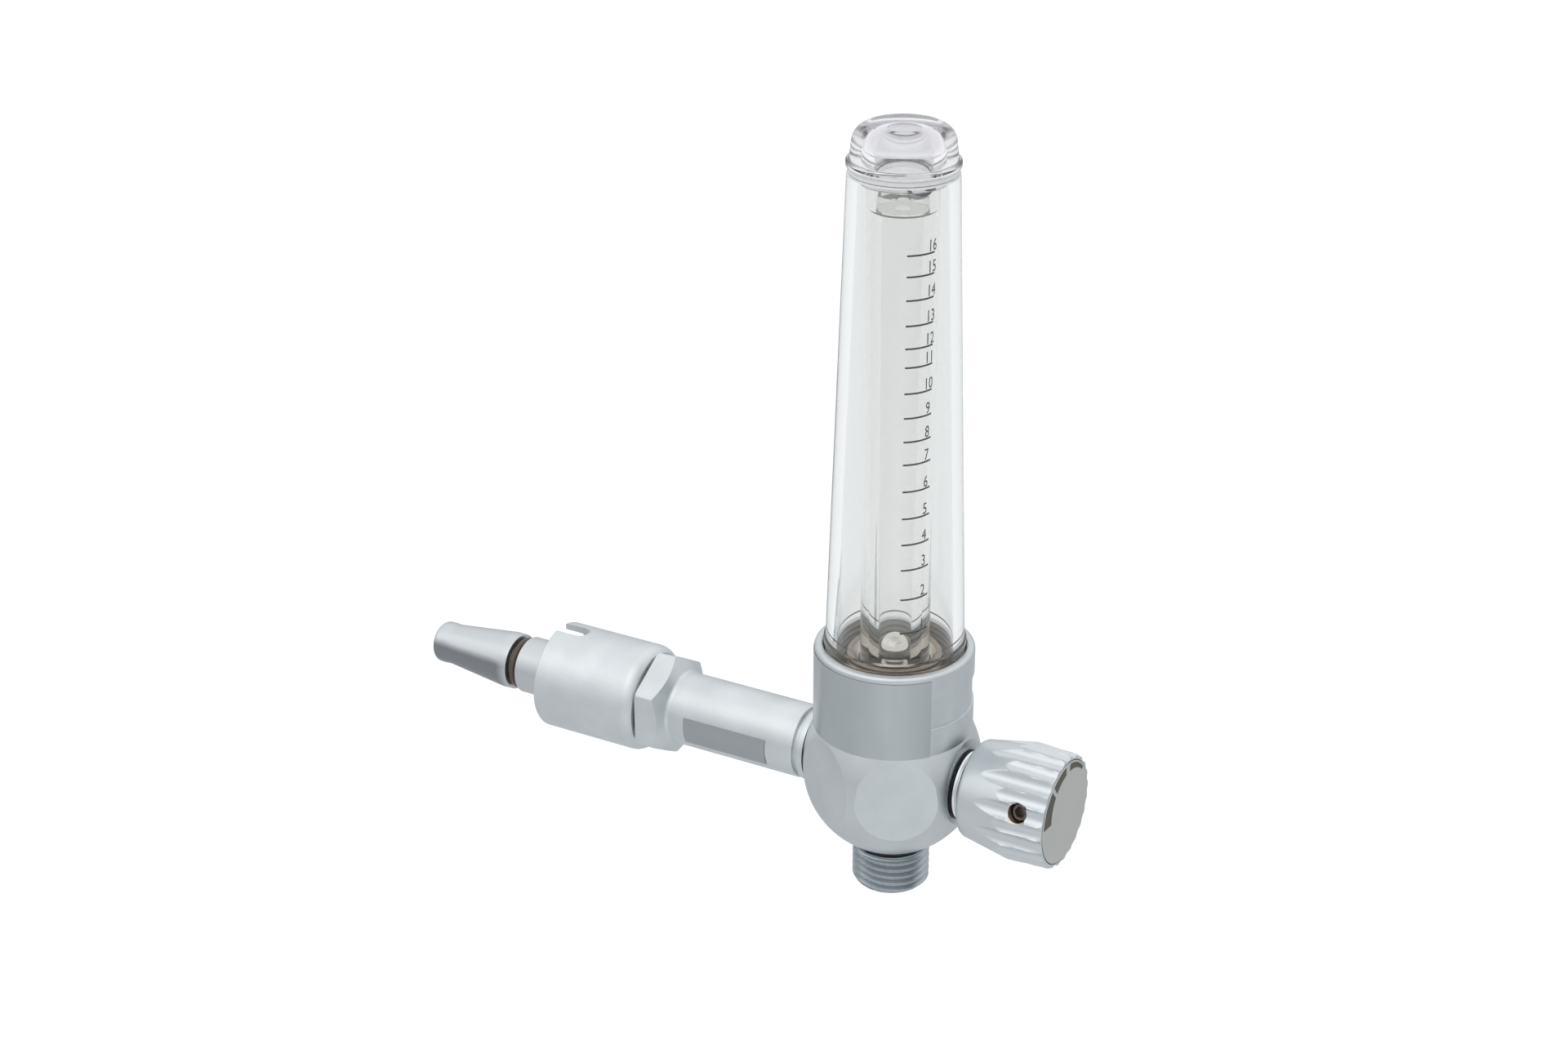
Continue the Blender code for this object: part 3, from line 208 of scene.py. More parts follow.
def turned(name, outline, along="Z", steps=128, start=0.0, sweep=360.0, closed=True):
    """Draws an outline beside the tube's axis (Z) or the probe's (X), edge by edge, and spins it.

    The outline is in millimetres. Start and sweep are in degrees, and the sweep goes clockwise.
    """
    start = math.radians(start)
    if along == "Z":
        axis = Vector((0, 0, 1))
        side = Vector((math.cos(start), math.sin(start), 0))
    else:
        axis = Vector((1, 0, 0))
        side = Vector((0, math.cos(start), math.sin(start)))
    points = [TUBE_CENTRE + (side * radius + axis * height) * MM for radius, height in rounded(outline)]
    if closed:
        points.append(points[0])
    bpy.ops.object.select_all(action="DESELECT")
    bpy.ops.mesh.primitive_plane_add(size=MM)
    piece = bpy.context.object
    piece.name = name
    bpy.ops.object.mode_set(mode="EDIT")
    bpy.ops.mesh.merge(type="CENTER")
    bpy.ops.transform.translate(value=points[0])
    for here, there in zip(points, points[1:]):
        bpy.ops.mesh.extrude_region_move(TRANSFORM_OT_translate={"value": there - here})
    bpy.ops.mesh.select_all(action="SELECT")
    if sweep < 360:
        bpy.ops.mesh.remove_doubles(threshold=0.001 * MM)
        bpy.ops.mesh.edge_face_add()
    bpy.ops.mesh.spin(steps=steps, angle=math.radians(sweep), center=TUBE_CENTRE, axis=axis)
    bpy.ops.mesh.select_all(action="SELECT")
    bpy.ops.mesh.remove_doubles(threshold=0.001 * MM)
    bpy.ops.mesh.normals_make_consistent(inside=False)
    bpy.ops.object.mode_set(mode="OBJECT")
    return piece


def cut(piece, cutter, operation="DIFFERENCE"):
    """Cuts a piece by another, which is then taken away. The cut face keeps the cutter's finish."""
    step = piece.modifiers.new("cut", "BOOLEAN")
    step.operation = operation
    step.object = cutter
    step.solver = "EXACT"
    step.material_mode = "TRANSFER"
    bpy.context.view_layer.objects.active = piece
    bpy.ops.object.modifier_apply(modifier=step.name)
    bpy.data.objects.remove(cutter)


def drill(radius, start, end, along="X", vertices=64):
    """A round cutter on the probe's axis or the tube's, between two distances from the body's centre."""
    turn = (0, math.radians(90), 0) if along == "X" else (0, 0, 0)
    axis = Vector((1, 0, 0)) if along == "X" else Vector((0, 0, 1))
    bpy.ops.mesh.primitive_cylinder_add(
        vertices=vertices, radius=radius * MM, depth=(end - start) * MM,
        location=TUBE_CENTRE + axis * (start + end) / 2 * MM, rotation=turn)
    return bpy.context.object


def fitted(piece, finish, body, slot, *nodes, sharp=30):
    """Smooths a finished piece, gives it its finish, and sets it in the frame in place of its CAD nodes."""
    bpy.ops.object.select_all(action="DESELECT")
    piece.select_set(True)
    bpy.context.view_layer.objects.active = piece
    bpy.ops.object.transform_apply(location=True, rotation=True, scale=True)
    bpy.ops.object.shade_smooth_by_angle(angle=math.radians(sharp))
    step = piece.modifiers.new("even_normals", "WEIGHTED_NORMAL")
    step.keep_sharp = True
    bpy.ops.object.modifier_apply(modifier=step.name)
    if finish.name not in piece.data.materials:
        piece.data.materials.clear()
        piece.data.materials.append(finish)
    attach(piece, body)
    if nodes:
        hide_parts(*nodes)


def new_finish(name, colour, roughness, metallic=1.0, **constants):
    """A Principled material; what stays the same all over is set on the shader itself."""
    look = bpy.data.materials.new(name)
    look.use_nodes = True
    shader = look.node_tree.nodes["Principled BSDF"]
    shader.inputs["Base Color"].default_value = (*colour, 1)
    shader.inputs["Roughness"].default_value = roughness
    shader.inputs["Metallic"].default_value = metallic
    for name, value in constants.items():
        shader.inputs[name.replace("_", " ")].default_value = value
    return look


def feed(look, socket, signal):
    """Links a signal to one of the shader's sockets."""
    shader = look.node_tree.nodes["Principled BSDF"]
    look.node_tree.links.new(signal.socket, shader.inputs[socket])


def noise(look, scale, detail=2.0, stretch=(1, 1, 1)):
    """Noise on the piece's own coordinates, scale in blotches to the metre."""
    start = Signal(look.node_tree)
    place = start.node("ShaderNodeTexCoord", output="Object")
    stretched = start.node("ShaderNodeMapping", inputs={"Vector": place, "Scale": stretch})
    return start.node("ShaderNodeTexNoise", inputs={"Vector": stretched, "Scale": scale, "Detail": detail})


def height_of(look):
    """Height of the point that is shaded, in metres above the probe's axis."""
    place = Signal(look.node_tree).node("ShaderNodeTexCoord", output="Object")
    return place.node("ShaderNodeSeparateXYZ", inputs={0: place}, output="Z")


def faded(value, start, end, peak=1.0, **settings):
    """0 where a value is at start, rising to peak where it is at end."""
    return value.node("ShaderNodeMapRange", settings, {0: value, 1: start, 2: end, 3: 0.0, 4: peak})


def mixed(factor, first, second):
    """The first colour where the factor is 0, and the second where it is 1."""
    return factor.node("ShaderNodeMix", {"data_type": "RGBA"},
                       {0: factor, 6: (*first, 1), 7: (*second, 1)}, 2)


def bump(relief, strength, distance):
    """A normal from a relief, its distance in millimetres."""
    return relief.node("ShaderNodeBump", inputs={
        "Strength": strength, "Distance": distance * MM, "Height": relief})


def banded(colour, variation):
    """A darker and a paler form of a colour."""
    return tuple(c * (1 - variation) for c in colour), tuple(c * (1 + variation) for c in colour)


EVEN = (1, 1, 1)
ROUND_TUBE = (0.04, 0.04, 1.0)
ROUND_PROBE = (1.0, 0.04, 0.04)


def satin_metal(name, colour, roughness=0.36, along=EVEN, mottle=0.08, grain=0.35):
    """Plated metal with a blasted grain, faint tool marks that run round its axis, and a cloudy tone."""
    look = new_finish(name, colour, roughness)
    cloud = noise(look, 160, 3)
    specks = noise(look, 2600, 2)
    rings = noise(look, 900, 2, along)
    feed(look, "Base Color", mixed(cloud * 1.6 - 0.3 + (specks - 0.5) * 0.5, *banded(colour, mottle)))
    feed(look, "Roughness", roughness - 0.05 + cloud * 0.06 + specks * 0.04)
    feed(look, "Normal", bump(specks * 0.7 + rings * 0.5, strength=grain, distance=0.035))
    return look


def matt(name, colour, roughness, metallic=0.0, **constants):
    """Rubber, moulded plastic or a plain hidden metal: an even tone with a fine, slightly uneven surface."""
    look = new_finish(name, colour, roughness, metallic, **constants)
    grain = noise(look, 1500)
    feed(look, "Base Color", mixed(grain, tuple(c * 0.85 for c in colour), tuple(c * 1.12 for c in colour)))
    feed(look, "Roughness", roughness - 0.08 + grain * 0.16)
    feed(look, "Normal", bump(grain, strength=0.2, distance=0.02))
    return look


BODY_RADIUS = 14.5
CUP_RADIUS = 12.95
CUP_FLOOR = 17.0
WELL_RADIUS = 6.1
WELL_FLOOR = 14.2
BAND_RADIUS = 14.15
BAND_TOP = 20.1
BAND_BOTTOM = 14.5
CYLINDER_BOTTOM = 9.1
BALL_RADIUS = 16.45
BALL_SHOULDER = 2.0
FLARE_STEPS = 12
SOCKET_RADIUS = 6.2
NIPPLE_SOCKET_DEPTH = 7.1
STEM_SOCKET_FLOOR = -7.85
VALVE_SOCKET_RADIUS = 5.3
VALVE_SOCKET_FLOOR = 5.5
rim = body_high.z / MM
ball_bottom = body_low.z / MM
flats_across = (body_high.x - body_low.x) / MM
flare = math.sqrt(BALL_RADIUS ** 2 - BALL_SHOULDER ** 2) - BODY_RADIUS
outline = [(0, WELL_FLOOR), (WELL_RADIUS, WELL_FLOOR), (WELL_RADIUS, CUP_FLOOR), (CUP_RADIUS, CUP_FLOOR),
           (CUP_RADIUS, rim, 0.3), (BODY_RADIUS, rim, 0.75), (BODY_RADIUS, BAND_TOP, 0.1),
           (BAND_RADIUS, BAND_TOP), (BAND_RADIUS, BAND_BOTTOM), (BODY_RADIUS, BAND_BOTTOM, 0.1),
           (BODY_RADIUS, CYLINDER_BOTTOM)]
for i in range(1, FLARE_STEPS):
    share = i / FLARE_STEPS
    outline.append((BODY_RADIUS + flare * math.sin(math.radians(90 * share)),
                    CYLINDER_BOTTOM - (CYLINDER_BOTTOM - BALL_SHOULDER) * share))
outline += arc(0, 0, BALL_RADIUS, math.degrees(math.asin(BALL_SHOULDER / BALL_RADIUS)),
               math.degrees(math.asin(ball_bottom / BALL_RADIUS)), 40)
socket_floor = ball_bottom + NIPPLE_SOCKET_DEPTH
outline += [(SOCKET_RADIUS, ball_bottom, 0.15), (SOCKET_RADIUS, socket_floor), (0, socket_floor)]
body = turned("turned_body", outline, steps=192, closed=False)
hexagon_bar = drill(flats_across / 2 / math.cos(math.radians(30)), -20, rim + 1, along="Z", vertices=6)
cut(body, hexagon_bar, "INTERSECT")
cut(body, drill(SOCKET_RADIUS, -20, STEM_SOCKET_FLOOR))
cut(body, drill(VALVE_SOCKET_RADIUS, VALVE_SOCKET_FLOOR, 20))
plated = satin_metal("plated_body_metal", (0.66, 0.69, 0.70), along=ROUND_TUBE)
# Painted light: the cup's inner wall is painted pale and matt to lift the shade inside the cup.
cup_wall_painted_light = matt("painted_light_cup_wall", (0.86, 0.82, 0.78), 0.5)
body.data.materials.clear()
body.data.materials.append(plated)
body.data.materials.append(cup_wall_painted_light)
for face in body.data.polygons:
    across = face.center - TUBE_CENTRE
    inside = math.hypot(across.x, across.y) < (CUP_RADIUS + 0.05) * MM
    if inside and (CUP_FLOOR - 0.5) * MM < across.z < (rim - 0.4) * MM:
        face.material_index = 1
fitted(body, plated, "meter", "body_metal", "flowmeter_body", sharp=20)

# Wrap label: a bare metallised film stuck round the cylinder, from below the rim down to the flare.
# It bridges the shallow band, and its edge shows to the right of the front.
film_low, film_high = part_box("body_label")
FILM_INSIDE = 14.56
FILM_OUTSIDE = 14.64
FILM_START = -36
FILM_SWEEP = 166
film = new_finish("bare_wrap_film", (0.50, 0.535, 0.55), 0.27, 0.9, Coat_Weight=0.2, Coat_Roughness=0.2)
clouds = noise(film, 260, 3, (1, 1, 0.4)) * 1.4 - 0.2
feed(film, "Base Color", mixed(clouds, (0.47, 0.505, 0.52), (0.53, 0.565, 0.58)))
feed(film, "Roughness", 0.27 + noise(film, 700, 3) * 0.1)
feed(film, "Normal", bump(noise(film, 190, 2), strength=0.1, distance=0.05))
label = turned("wrap_label", [
    (FILM_INSIDE, film_low.z / MM), (FILM_INSIDE, film_high.z / MM), (FILM_OUTSIDE, film_high.z / MM),
    (FILM_OUTSIDE, film_low.z / MM)], steps=96, start=FILM_START, sweep=FILM_SWEEP)
fitted(label, film, "meter", "label_film", "body_label")

# Outlet nipple: a plated tube screwed into the ball's underside, with a rolled right-hand thread of
# 1.411 mm pitch for the tubing nut, a bevelled end and a coned mouth. A seal sits in its neck.
THREAD_PITCH = 1.411
THREAD_RADIUS = 7.145
THREAD_DEPTH = 0.72
FIRST_CREST = -17.33
THREAD_TOP = -15.9
THREAD_ROWS = 190
BORE_RADIUS = 3.2
MOUTH_RADIUS = 4.5
NECK_RADIUS = 5.9
nipple_low, nipple_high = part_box("outlet_nipple")
tip = nipple_low.z / MM
neck_top = nipple_high.z / MM
row_height = (tip + 0.05 - THREAD_TOP) / THREAD_ROWS
outline = [(NECK_RADIUS, neck_top), (NECK_RADIUS, -15.5), (6.3, -15.5), (6.5, -15.7)]
outline += [(THREAD_RADIUS, THREAD_TOP + row_height * i) for i in range(THREAD_ROWS + 1)]
outline += [(MOUTH_RADIUS, tip, 0.15), (BORE_RADIUS, tip + 1.3), (BORE_RADIUS, neck_top)]
nipple = turned("threaded_nipple", outline, steps=160)
for vertex in nipple.data.vertices:
    across = vertex.co - TUBE_CENTRE
    radius = math.hypot(across.x, across.y) / MM
    height = vertex.co.z / MM
    if radius > 6.6:
        turn = math.atan2(across.y, across.x) / (2 * math.pi)
        phase = ((height - FIRST_CREST) / THREAD_PITCH + turn) % 1.0
        groove = min(1.0, max(0.0, 1.45 * (1 - abs(2 * phase - 1)) - 0.2))
        runout = min(1.0, max(0.0, THREAD_TOP - height))
        bevel = max(0.0, 0.95 - (height - tip))
        new_radius = min(THREAD_RADIUS - THREAD_DEPTH * groove * runout - 0.25 * (1 - runout),
                         THREAD_RADIUS - bevel)
        across.x *= new_radius / radius
        across.y *= new_radius / radius
        vertex.co = TUBE_CENTRE + across
zinc = satin_metal("zinc_plated_nipple", (0.42, 0.465, 0.485), 0.3, along=ROUND_TUBE, mottle=0.06)
fitted(nipple, zinc, "meter", "outlet_metal", "outlet_nipple", sharp=35)
black = matt("black_seal_rubber", (0.014, 0.014, 0.016), 0.42)
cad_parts["outlet_seal"].data.materials[0] = black

# Inlet stem: one turned and milled piece. A flange and groove at the body's side, a round stem, a hexagon
# with its corners up and down, and a spigot that carries the collar. A thin blue-black seal lies under the
# flange, and a sintered bronze filter stands in the gas way.
stem_low, stem_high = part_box("inlet_stem")
screw_end = (stem_high.x - TUBE_X) / MM
spigot_end = (stem_low.x - TUBE_X) / MM
STEM_RADIUS = 6.95
HEX_ACROSS = 17.8
HEX_CORNER = 10.22
HEX_FRONT = -45.6
HEX_BACK = -50.35
FLANGE_START = -15.3
GROOVE_START = -16.6
GROOVE_END = -17.5
SPIGOT_RADIUS = 7.6
NOSE_SOCKET_RADIUS = 5.85
NOSE_SOCKET_DEPTH = 6.7
GAS_WAY_RADIUS = 2.5
stem = turned("turned_stem", [
    (NECK_RADIUS, screw_end), (NECK_RADIUS, FLANGE_START), (STEM_RADIUS, FLANGE_START, 0.15),
    (STEM_RADIUS, GROOVE_START, 0.2), (6.25, GROOVE_START), (6.25, GROOVE_END),
    (STEM_RADIUS, GROOVE_END, 0.3), (STEM_RADIUS, HEX_FRONT + 1.05, 0.95),
    (HEX_CORNER - 1.42, HEX_FRONT, 0.2), (HEX_CORNER, HEX_FRONT - 0.9, 0.1), (HEX_CORNER, HEX_BACK, 0.4),
    (8.2, HEX_BACK, 0.1), (8.2, -50.7),
    (SPIGOT_RADIUS, -50.7), (SPIGOT_RADIUS, spigot_end), (NOSE_SOCKET_RADIUS, spigot_end),
    (NOSE_SOCKET_RADIUS, spigot_end + NOSE_SOCKET_DEPTH), (GAS_WAY_RADIUS, spigot_end + NOSE_SOCKET_DEPTH),
    (GAS_WAY_RADIUS, screw_end)], "X")
bpy.ops.mesh.primitive_cylinder_add(
    vertices=6, radius=HEX_ACROSS / 2 / math.cos(math.radians(30)) * MM, depth=120 * MM,
    location=(TUBE_X - 17.5 * MM, 0, 0), rotation=(math.radians(90), 0, math.radians(90)))
cut(stem, bpy.context.object, "INTERSECT")
stem_metal = satin_metal("satin_stem_metal", (0.70, 0.73, 0.735), along=ROUND_PROBE)
fitted(stem, stem_metal, "meter", "body_metal", "inlet_stem", sharp=25)
blue_black = matt("blue_black_rubber", (0.03, 0.045, 0.06), 0.45)
seal = turned("stem_side_seal", [
    (STEM_RADIUS, -14.7, 0.15), (STEM_RADIUS, -15.22, 0.15), (6.05, -15.22), (6.05, -14.7)], "X")
fitted(seal, blue_black, "meter", "dark_rubber", "stem_seal")
bronze = matt("sintered_filter_bronze", (0.42, 0.30, 0.16), 0.6, metallic=1.0)
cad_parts["inlet_filter"].data.materials[0] = bronze

# Stem label: a bare metallised film on the stem's front, below where its highlight runs. It is stuck down
# flat round the curve.
stem_film_low, stem_film_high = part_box("stem_label")
film_right = (stem_film_high.x - TUBE_X) / MM
film_left = (stem_film_low.x - TUBE_X) / MM
STEM_FILM_INSIDE = 7.01
STEM_FILM_OUTSIDE = 7.09
STEM_FILM_START = 209.8
STEM_FILM_SWEEP = 45
stem_label = turned("stem_film", [
    (STEM_FILM_INSIDE, film_left), (STEM_FILM_INSIDE, film_right), (STEM_FILM_OUTSIDE, film_right),
    (STEM_FILM_OUTSIDE, film_left)], "X", steps=40, start=STEM_FILM_START, sweep=STEM_FILM_SWEEP)
stem_film = new_finish("bare_stem_film", (0.42, 0.44, 0.45), 0.3, 0.8)
feed(stem_film, "Base Color", mixed(noise(stem_film, 400, 3), (0.40, 0.42, 0.43), (0.44, 0.46, 0.47)))
feed(stem_film, "Roughness", 0.28 + noise(stem_film, 900) * 0.1)
fitted(stem_label, stem_film, "meter", "label_film", "stem_label")

# Index collar: a satin sleeve, open to the wall, with a round-ended keyway milled in its top and its rear
# edge rolled over. Its web rides on the stem's spigot, and a circlip inside holds it.
collar_low, collar_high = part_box("index_collar")
collar_rear = (collar_high.x - TUBE_X) / MM
collar_front = (collar_low.x - TUBE_X) / MM
COLLAR_RADIUS = 10.35
SHOULDER_ROUNDING = 2.7
SHOULDER_ANGLE = 56
WEB_BORE = 7.9
WEB_THICKNESS = 5.4
SLEEVE_BORE = 9.1
SLOT_WIDTH = 3.4
SLOT_LENGTH = 6.4
shoulder_centre = collar_rear - SHOULDER_ROUNDING * math.sin(math.radians(SHOULDER_ANGLE))
outline = [(WEB_BORE, collar_rear, 0.2)]
outline += arc(COLLAR_RADIUS - SHOULDER_ROUNDING, shoulder_centre, SHOULDER_ROUNDING, SHOULDER_ANGLE, 0, 10)
outline += [(COLLAR_RADIUS, collar_front, 0.35), (SLEEVE_BORE, collar_front, 0.2),
            (SLEEVE_BORE, collar_rear - WEB_THICKNESS), (WEB_BORE, collar_rear - WEB_THICKNESS)]
collar = turned("sleeve_collar", outline, "X", steps=160)
slot_end = TUBE_CENTRE + Vector((collar_front + SLOT_LENGTH - SLOT_WIDTH / 2, 0, COLLAR_RADIUS)) * MM
slot_middle = slot_end - Vector((SLOT_LENGTH / 2, 0, 0)) * MM
bpy.ops.mesh.primitive_cube_add(size=1, location=slot_middle, scale=Vector((SLOT_LENGTH, SLOT_WIDTH, 8)) * MM)
cut(collar, bpy.context.object)
bpy.ops.mesh.primitive_cylinder_add(vertices=40, radius=SLOT_WIDTH / 2 * MM, depth=8 * MM, location=slot_end)
cut(collar, bpy.context.object)
collar_metal = satin_metal("satin_collar_metal", (0.72, 0.75, 0.755), 0.38, along=ROUND_PROBE)
fitted(collar, collar_metal, "meter", "body_metal", "index_collar", sharp=25)
spring_steel = matt("oiled_spring_steel", (0.30, 0.30, 0.30), 0.4, metallic=1.0)
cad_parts["collar_circlip"].data.materials[0] = spring_steel

# Probe nose: satin steel, a slender cone behind a rounded tip, with a groove for its amber O-ring. It is
# pressed into the stem's spigot. The cone is painted darker underneath, a painted shade.
nose_low, nose_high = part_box("probe_nose")
nose_tip = (nose_low.x - TUBE_X) / MM
nose_rear = (nose_high.x - TUBE_X) / MM
NOSE_RADIUS = 5.55
RING_FLOOR = 4.0
NOSE_BORE = 2.2
nose = turned("satin_nose", [
    (NOSE_RADIUS, nose_rear), (NOSE_RADIUS, -80.3, 0.25), (RING_FLOOR, -80.5), (RING_FLOOR, -82.5),
    (5.5, -82.55, 0.15), (NOSE_RADIUS, -84.55, 1.5), (4.0, -97.9, 2.0), (4.08, -99.2, 1.5),
    (4.05, nose_tip, 1.1), (2.5, nose_tip, 0.3), (NOSE_BORE, nose_tip + 0.5), (NOSE_BORE, nose_rear)], "X")
steel = satin_metal("satin_probe_steel", (0.62, 0.64, 0.65), 0.3, along=ROUND_PROBE, mottle=0.05)
# Painted shade: the nose's colour turns darker below a level just above its axis.
level = height_of(steel) + (noise(steel, 200, 2) - 0.5) * 0.001
painted_underside_shade = faded(level, 2.3 * MM, 1.0 * MM)
place = level.node("ShaderNodeTexCoord", output="Object")
distance = level.node("ShaderNodeSeparateXYZ", inputs={0: place}, output="X")
cone = faded(distance, -10.0 * MM, -12.0 * MM)
feed(steel, "Base Color", mixed(painted_underside_shade * cone, (0.64, 0.66, 0.67), (0.30, 0.31, 0.32)))
fitted(nose, steel, "meter", "polished_steel", "probe_nose")
amber = matt("amber_ring_rubber", (0.09, 0.06, 0.035), 0.35, Coat_Weight=0.3)
ring = turned("amber_o_ring", [
    (4.1, -80.95, 0.5), (5.1, -80.95, 0.5), (5.1, -82.05, 0.5), (4.1, -82.05, 0.5)], "X", steps=96)
fitted(ring, amber, "meter", "amber_rubber", "probe_o_ring")

# Tube seat: turned brass under dull plating, standing in the body's cup. Its ridged outside shows through
# the cover, its socket holds the tube over a brown seal, and the ball rests on the jet in its middle.
SEAT_RADIUS = 8.6
SEAT_TOP = 24.2
RIDGES = 4
RIDGE_PITCH = 1.4
RIDGE_DEPTH = 0.4
SEAT_FOOT = 17.15
PLUG_RADIUS = 5.8
PLUG_END = 15.2
JET_BORE = 1.2
JET_RADIUS = 2.4
JET_TOP = 22.55
TUBE_SOCKET_RADIUS = 6.55
TUBE_SOCKET_FLOOR = 19.0
SEAL_GROOVE_RADIUS = 7.65
outline = [(7.0, SEAT_TOP - 1.2), (7.6, SEAT_TOP, 0.1), (SEAT_RADIUS, SEAT_TOP, 0.1)]
for i in range(RIDGES):
    ridge = SEAT_TOP - 0.6 - RIDGE_PITCH * i
    outline += [(SEAT_RADIUS, ridge, 0.08), (SEAT_RADIUS - RIDGE_DEPTH, ridge - RIDGE_PITCH / 4, 0.08),
                (SEAT_RADIUS, ridge - RIDGE_PITCH / 2, 0.08)]
outline += [(SEAT_RADIUS, SEAT_FOOT), (PLUG_RADIUS, SEAT_FOOT), (PLUG_RADIUS, PLUG_END), (JET_BORE, PLUG_END),
            (JET_BORE, JET_TOP), (1.7, 22.85), (JET_RADIUS, JET_TOP), (JET_RADIUS, TUBE_SOCKET_FLOOR),
            (TUBE_SOCKET_RADIUS, TUBE_SOCKET_FLOOR), (TUBE_SOCKET_RADIUS, 19.5), (SEAL_GROOVE_RADIUS, 19.5),
            (SEAL_GROOVE_RADIUS, 21.0), (TUBE_SOCKET_RADIUS, 21.0), (TUBE_SOCKET_RADIUS, 22.6)]
seat = turned("ridged_seat", outline, steps=112)
brass = satin_metal("dull_plated_brass", (0.82, 0.77, 0.71), 0.3, along=ROUND_TUBE, mottle=0.12)
top_face = faded(height_of(brass), (SEAT_TOP - 0.3) * MM, (SEAT_TOP - 0.1) * MM)
feed(brass, "Base Color", mixed(top_face, (0.82, 0.77, 0.71), (0.36, 0.305, 0.25)))
fitted(seat, brass, "meter", "seat_brass", "tube_seat", sharp=35)
brown = matt("brown_seal_rubber", (0.42, 0.31, 0.20), 0.5)
seal = turned("lower_tube_ring", [
    (6.4, 19.7, 0.5), (7.5, 19.7, 0.5), (7.5, 20.8, 0.5), (6.4, 20.8, 0.5)], steps=96)
fitted(seal, brown, "meter", "brown_rubber", "lower_tube_seal")
gasket_low, gasket_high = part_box("cover_gasket")
gasket_top = gasket_high.z / MM
gasket_bottom = gasket_low.z / MM
gasket = turned("cover_foot_gasket", [
    (12.4, gasket_top, 0.2), (12.4, gasket_bottom, 0.2), (10.65, gasket_bottom, 0.2),
    (10.65, gasket_top, 0.2)], steps=96)
fitted(gasket, brown, "meter", "brown_rubber", "cover_gasket")

# Flow tube: clear acrylic with a tapered bore, a stop pocket with a frosted step, and a half-round vent
# sawn in its top, its wall painted near-black as painted shade. A polished steel ball rides in it, under a
# soft clear stop.
tube_low, tube_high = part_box("flow_tube")
tube_bottom = tube_low.z / MM
tube_top = tube_high.z / MM
TUBE_RADIUS = 6.25
BORE_AT_FOOT = 2.95
BORE_AT_TOP = 3.6
POCKET_RADIUS = 4.6
POCKET_STEP = 106.7
POCKET_FLOOR = 107.25
VENT_DIRECTION = math.radians(-31.6)
VENT_RADIUS = 2.5
BALL_SIZE = 2.8


def clear_plastic(name, colour, index=1.49, haze=0.01):
    """Moulded or turned clear plastic: a trace of tint and a surface that isn't quite even."""
    look = new_finish(name, colour, 0.03, 0.0, Transmission_Weight=1.0, IOR=index)
    feed(look, "Roughness", haze + noise(look, 300) * 0.03)
    feed(look, "Normal", bump(noise(look, 60, 1), strength=0.05, distance=0.2))
    return look


acrylic = clear_plastic("clear_tube_acrylic", (0.955, 0.955, 0.945))
tube = turned("clear_tube", [
    (TUBE_RADIUS, tube_top, 0.3), (TUBE_RADIUS, tube_bottom, 0.3), (BORE_AT_FOOT, tube_bottom),
    (BORE_AT_FOOT, 24.0), (BORE_AT_TOP, POCKET_STEP), (POCKET_RADIUS, POCKET_FLOOR),
    (POCKET_RADIUS, tube_top)])
tube.data.materials.append(acrylic)
# Painted shade: the vent's cut wall is painted near-black for the dark it shows through the clear tube.
vent_painted_shade = matt("vent_wall_painted_shade", (0.10, 0.095, 0.12), 0.4)
vent_side = Vector((math.cos(VENT_DIRECTION), math.sin(VENT_DIRECTION), 0))
vent_place = TUBE_CENTRE + (vent_side * 5.4 + Vector((0, 0, tube_top))) * MM
bpy.ops.mesh.primitive_cylinder_add(vertices=64, radius=VENT_RADIUS * MM, depth=4 * MM, location=vent_place,
                                    rotation=(0, math.radians(90), VENT_DIRECTION))
bpy.context.object.data.materials.append(vent_painted_shade)
cut(tube, bpy.context.object)
frosted = matt("frosted_clear_edge", (0.84, 0.845, 0.84), 0.45)
tube.data.materials.append(frosted)
for face in tube.data.polygons:
    across = face.center - TUBE_CENTRE
    inside = math.hypot(across.x, across.y) < (POCKET_RADIUS + 0.05) * MM
    if inside and (POCKET_STEP - 0.05) * MM < across.z < (POCKET_FLOOR + 0.05) * MM:
        face.material_index = len(tube.data.materials) - 1
fitted(tube, acrylic, "meter", "clear_plastic", "flow_tube")
ball_low, ball_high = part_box("float_ball")
bpy.ops.mesh.primitive_uv_sphere_add(
    segments=64, ring_count=32, radius=BALL_SIZE * MM, location=(ball_low + ball_high) / 2)
ball = bpy.context.object
ball.name = "steel_ball"
ball_steel = satin_metal("ball_steel", (0.93, 0.91, 0.88), 0.14, mottle=0.03, grain=0.05)
fitted(ball, ball_steel, "float", "polished_steel", "float_ball")
stop_low, stop_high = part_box("float_stop")
stop_top = stop_high.z / MM
stop_foot = stop_low.z / MM
stop = turned("clear_stop", [
    (4.3, stop_top, 0.15), (4.3, stop_foot, 0.15), (1.3, stop_foot), (1.3, stop_top)], steps=64)
soft_clear = clear_plastic("soft_clear_stop", (0.98, 0.98, 0.98), index=1.1)
fitted(stop, soft_clear, "meter", "clear_plastic", "float_stop")

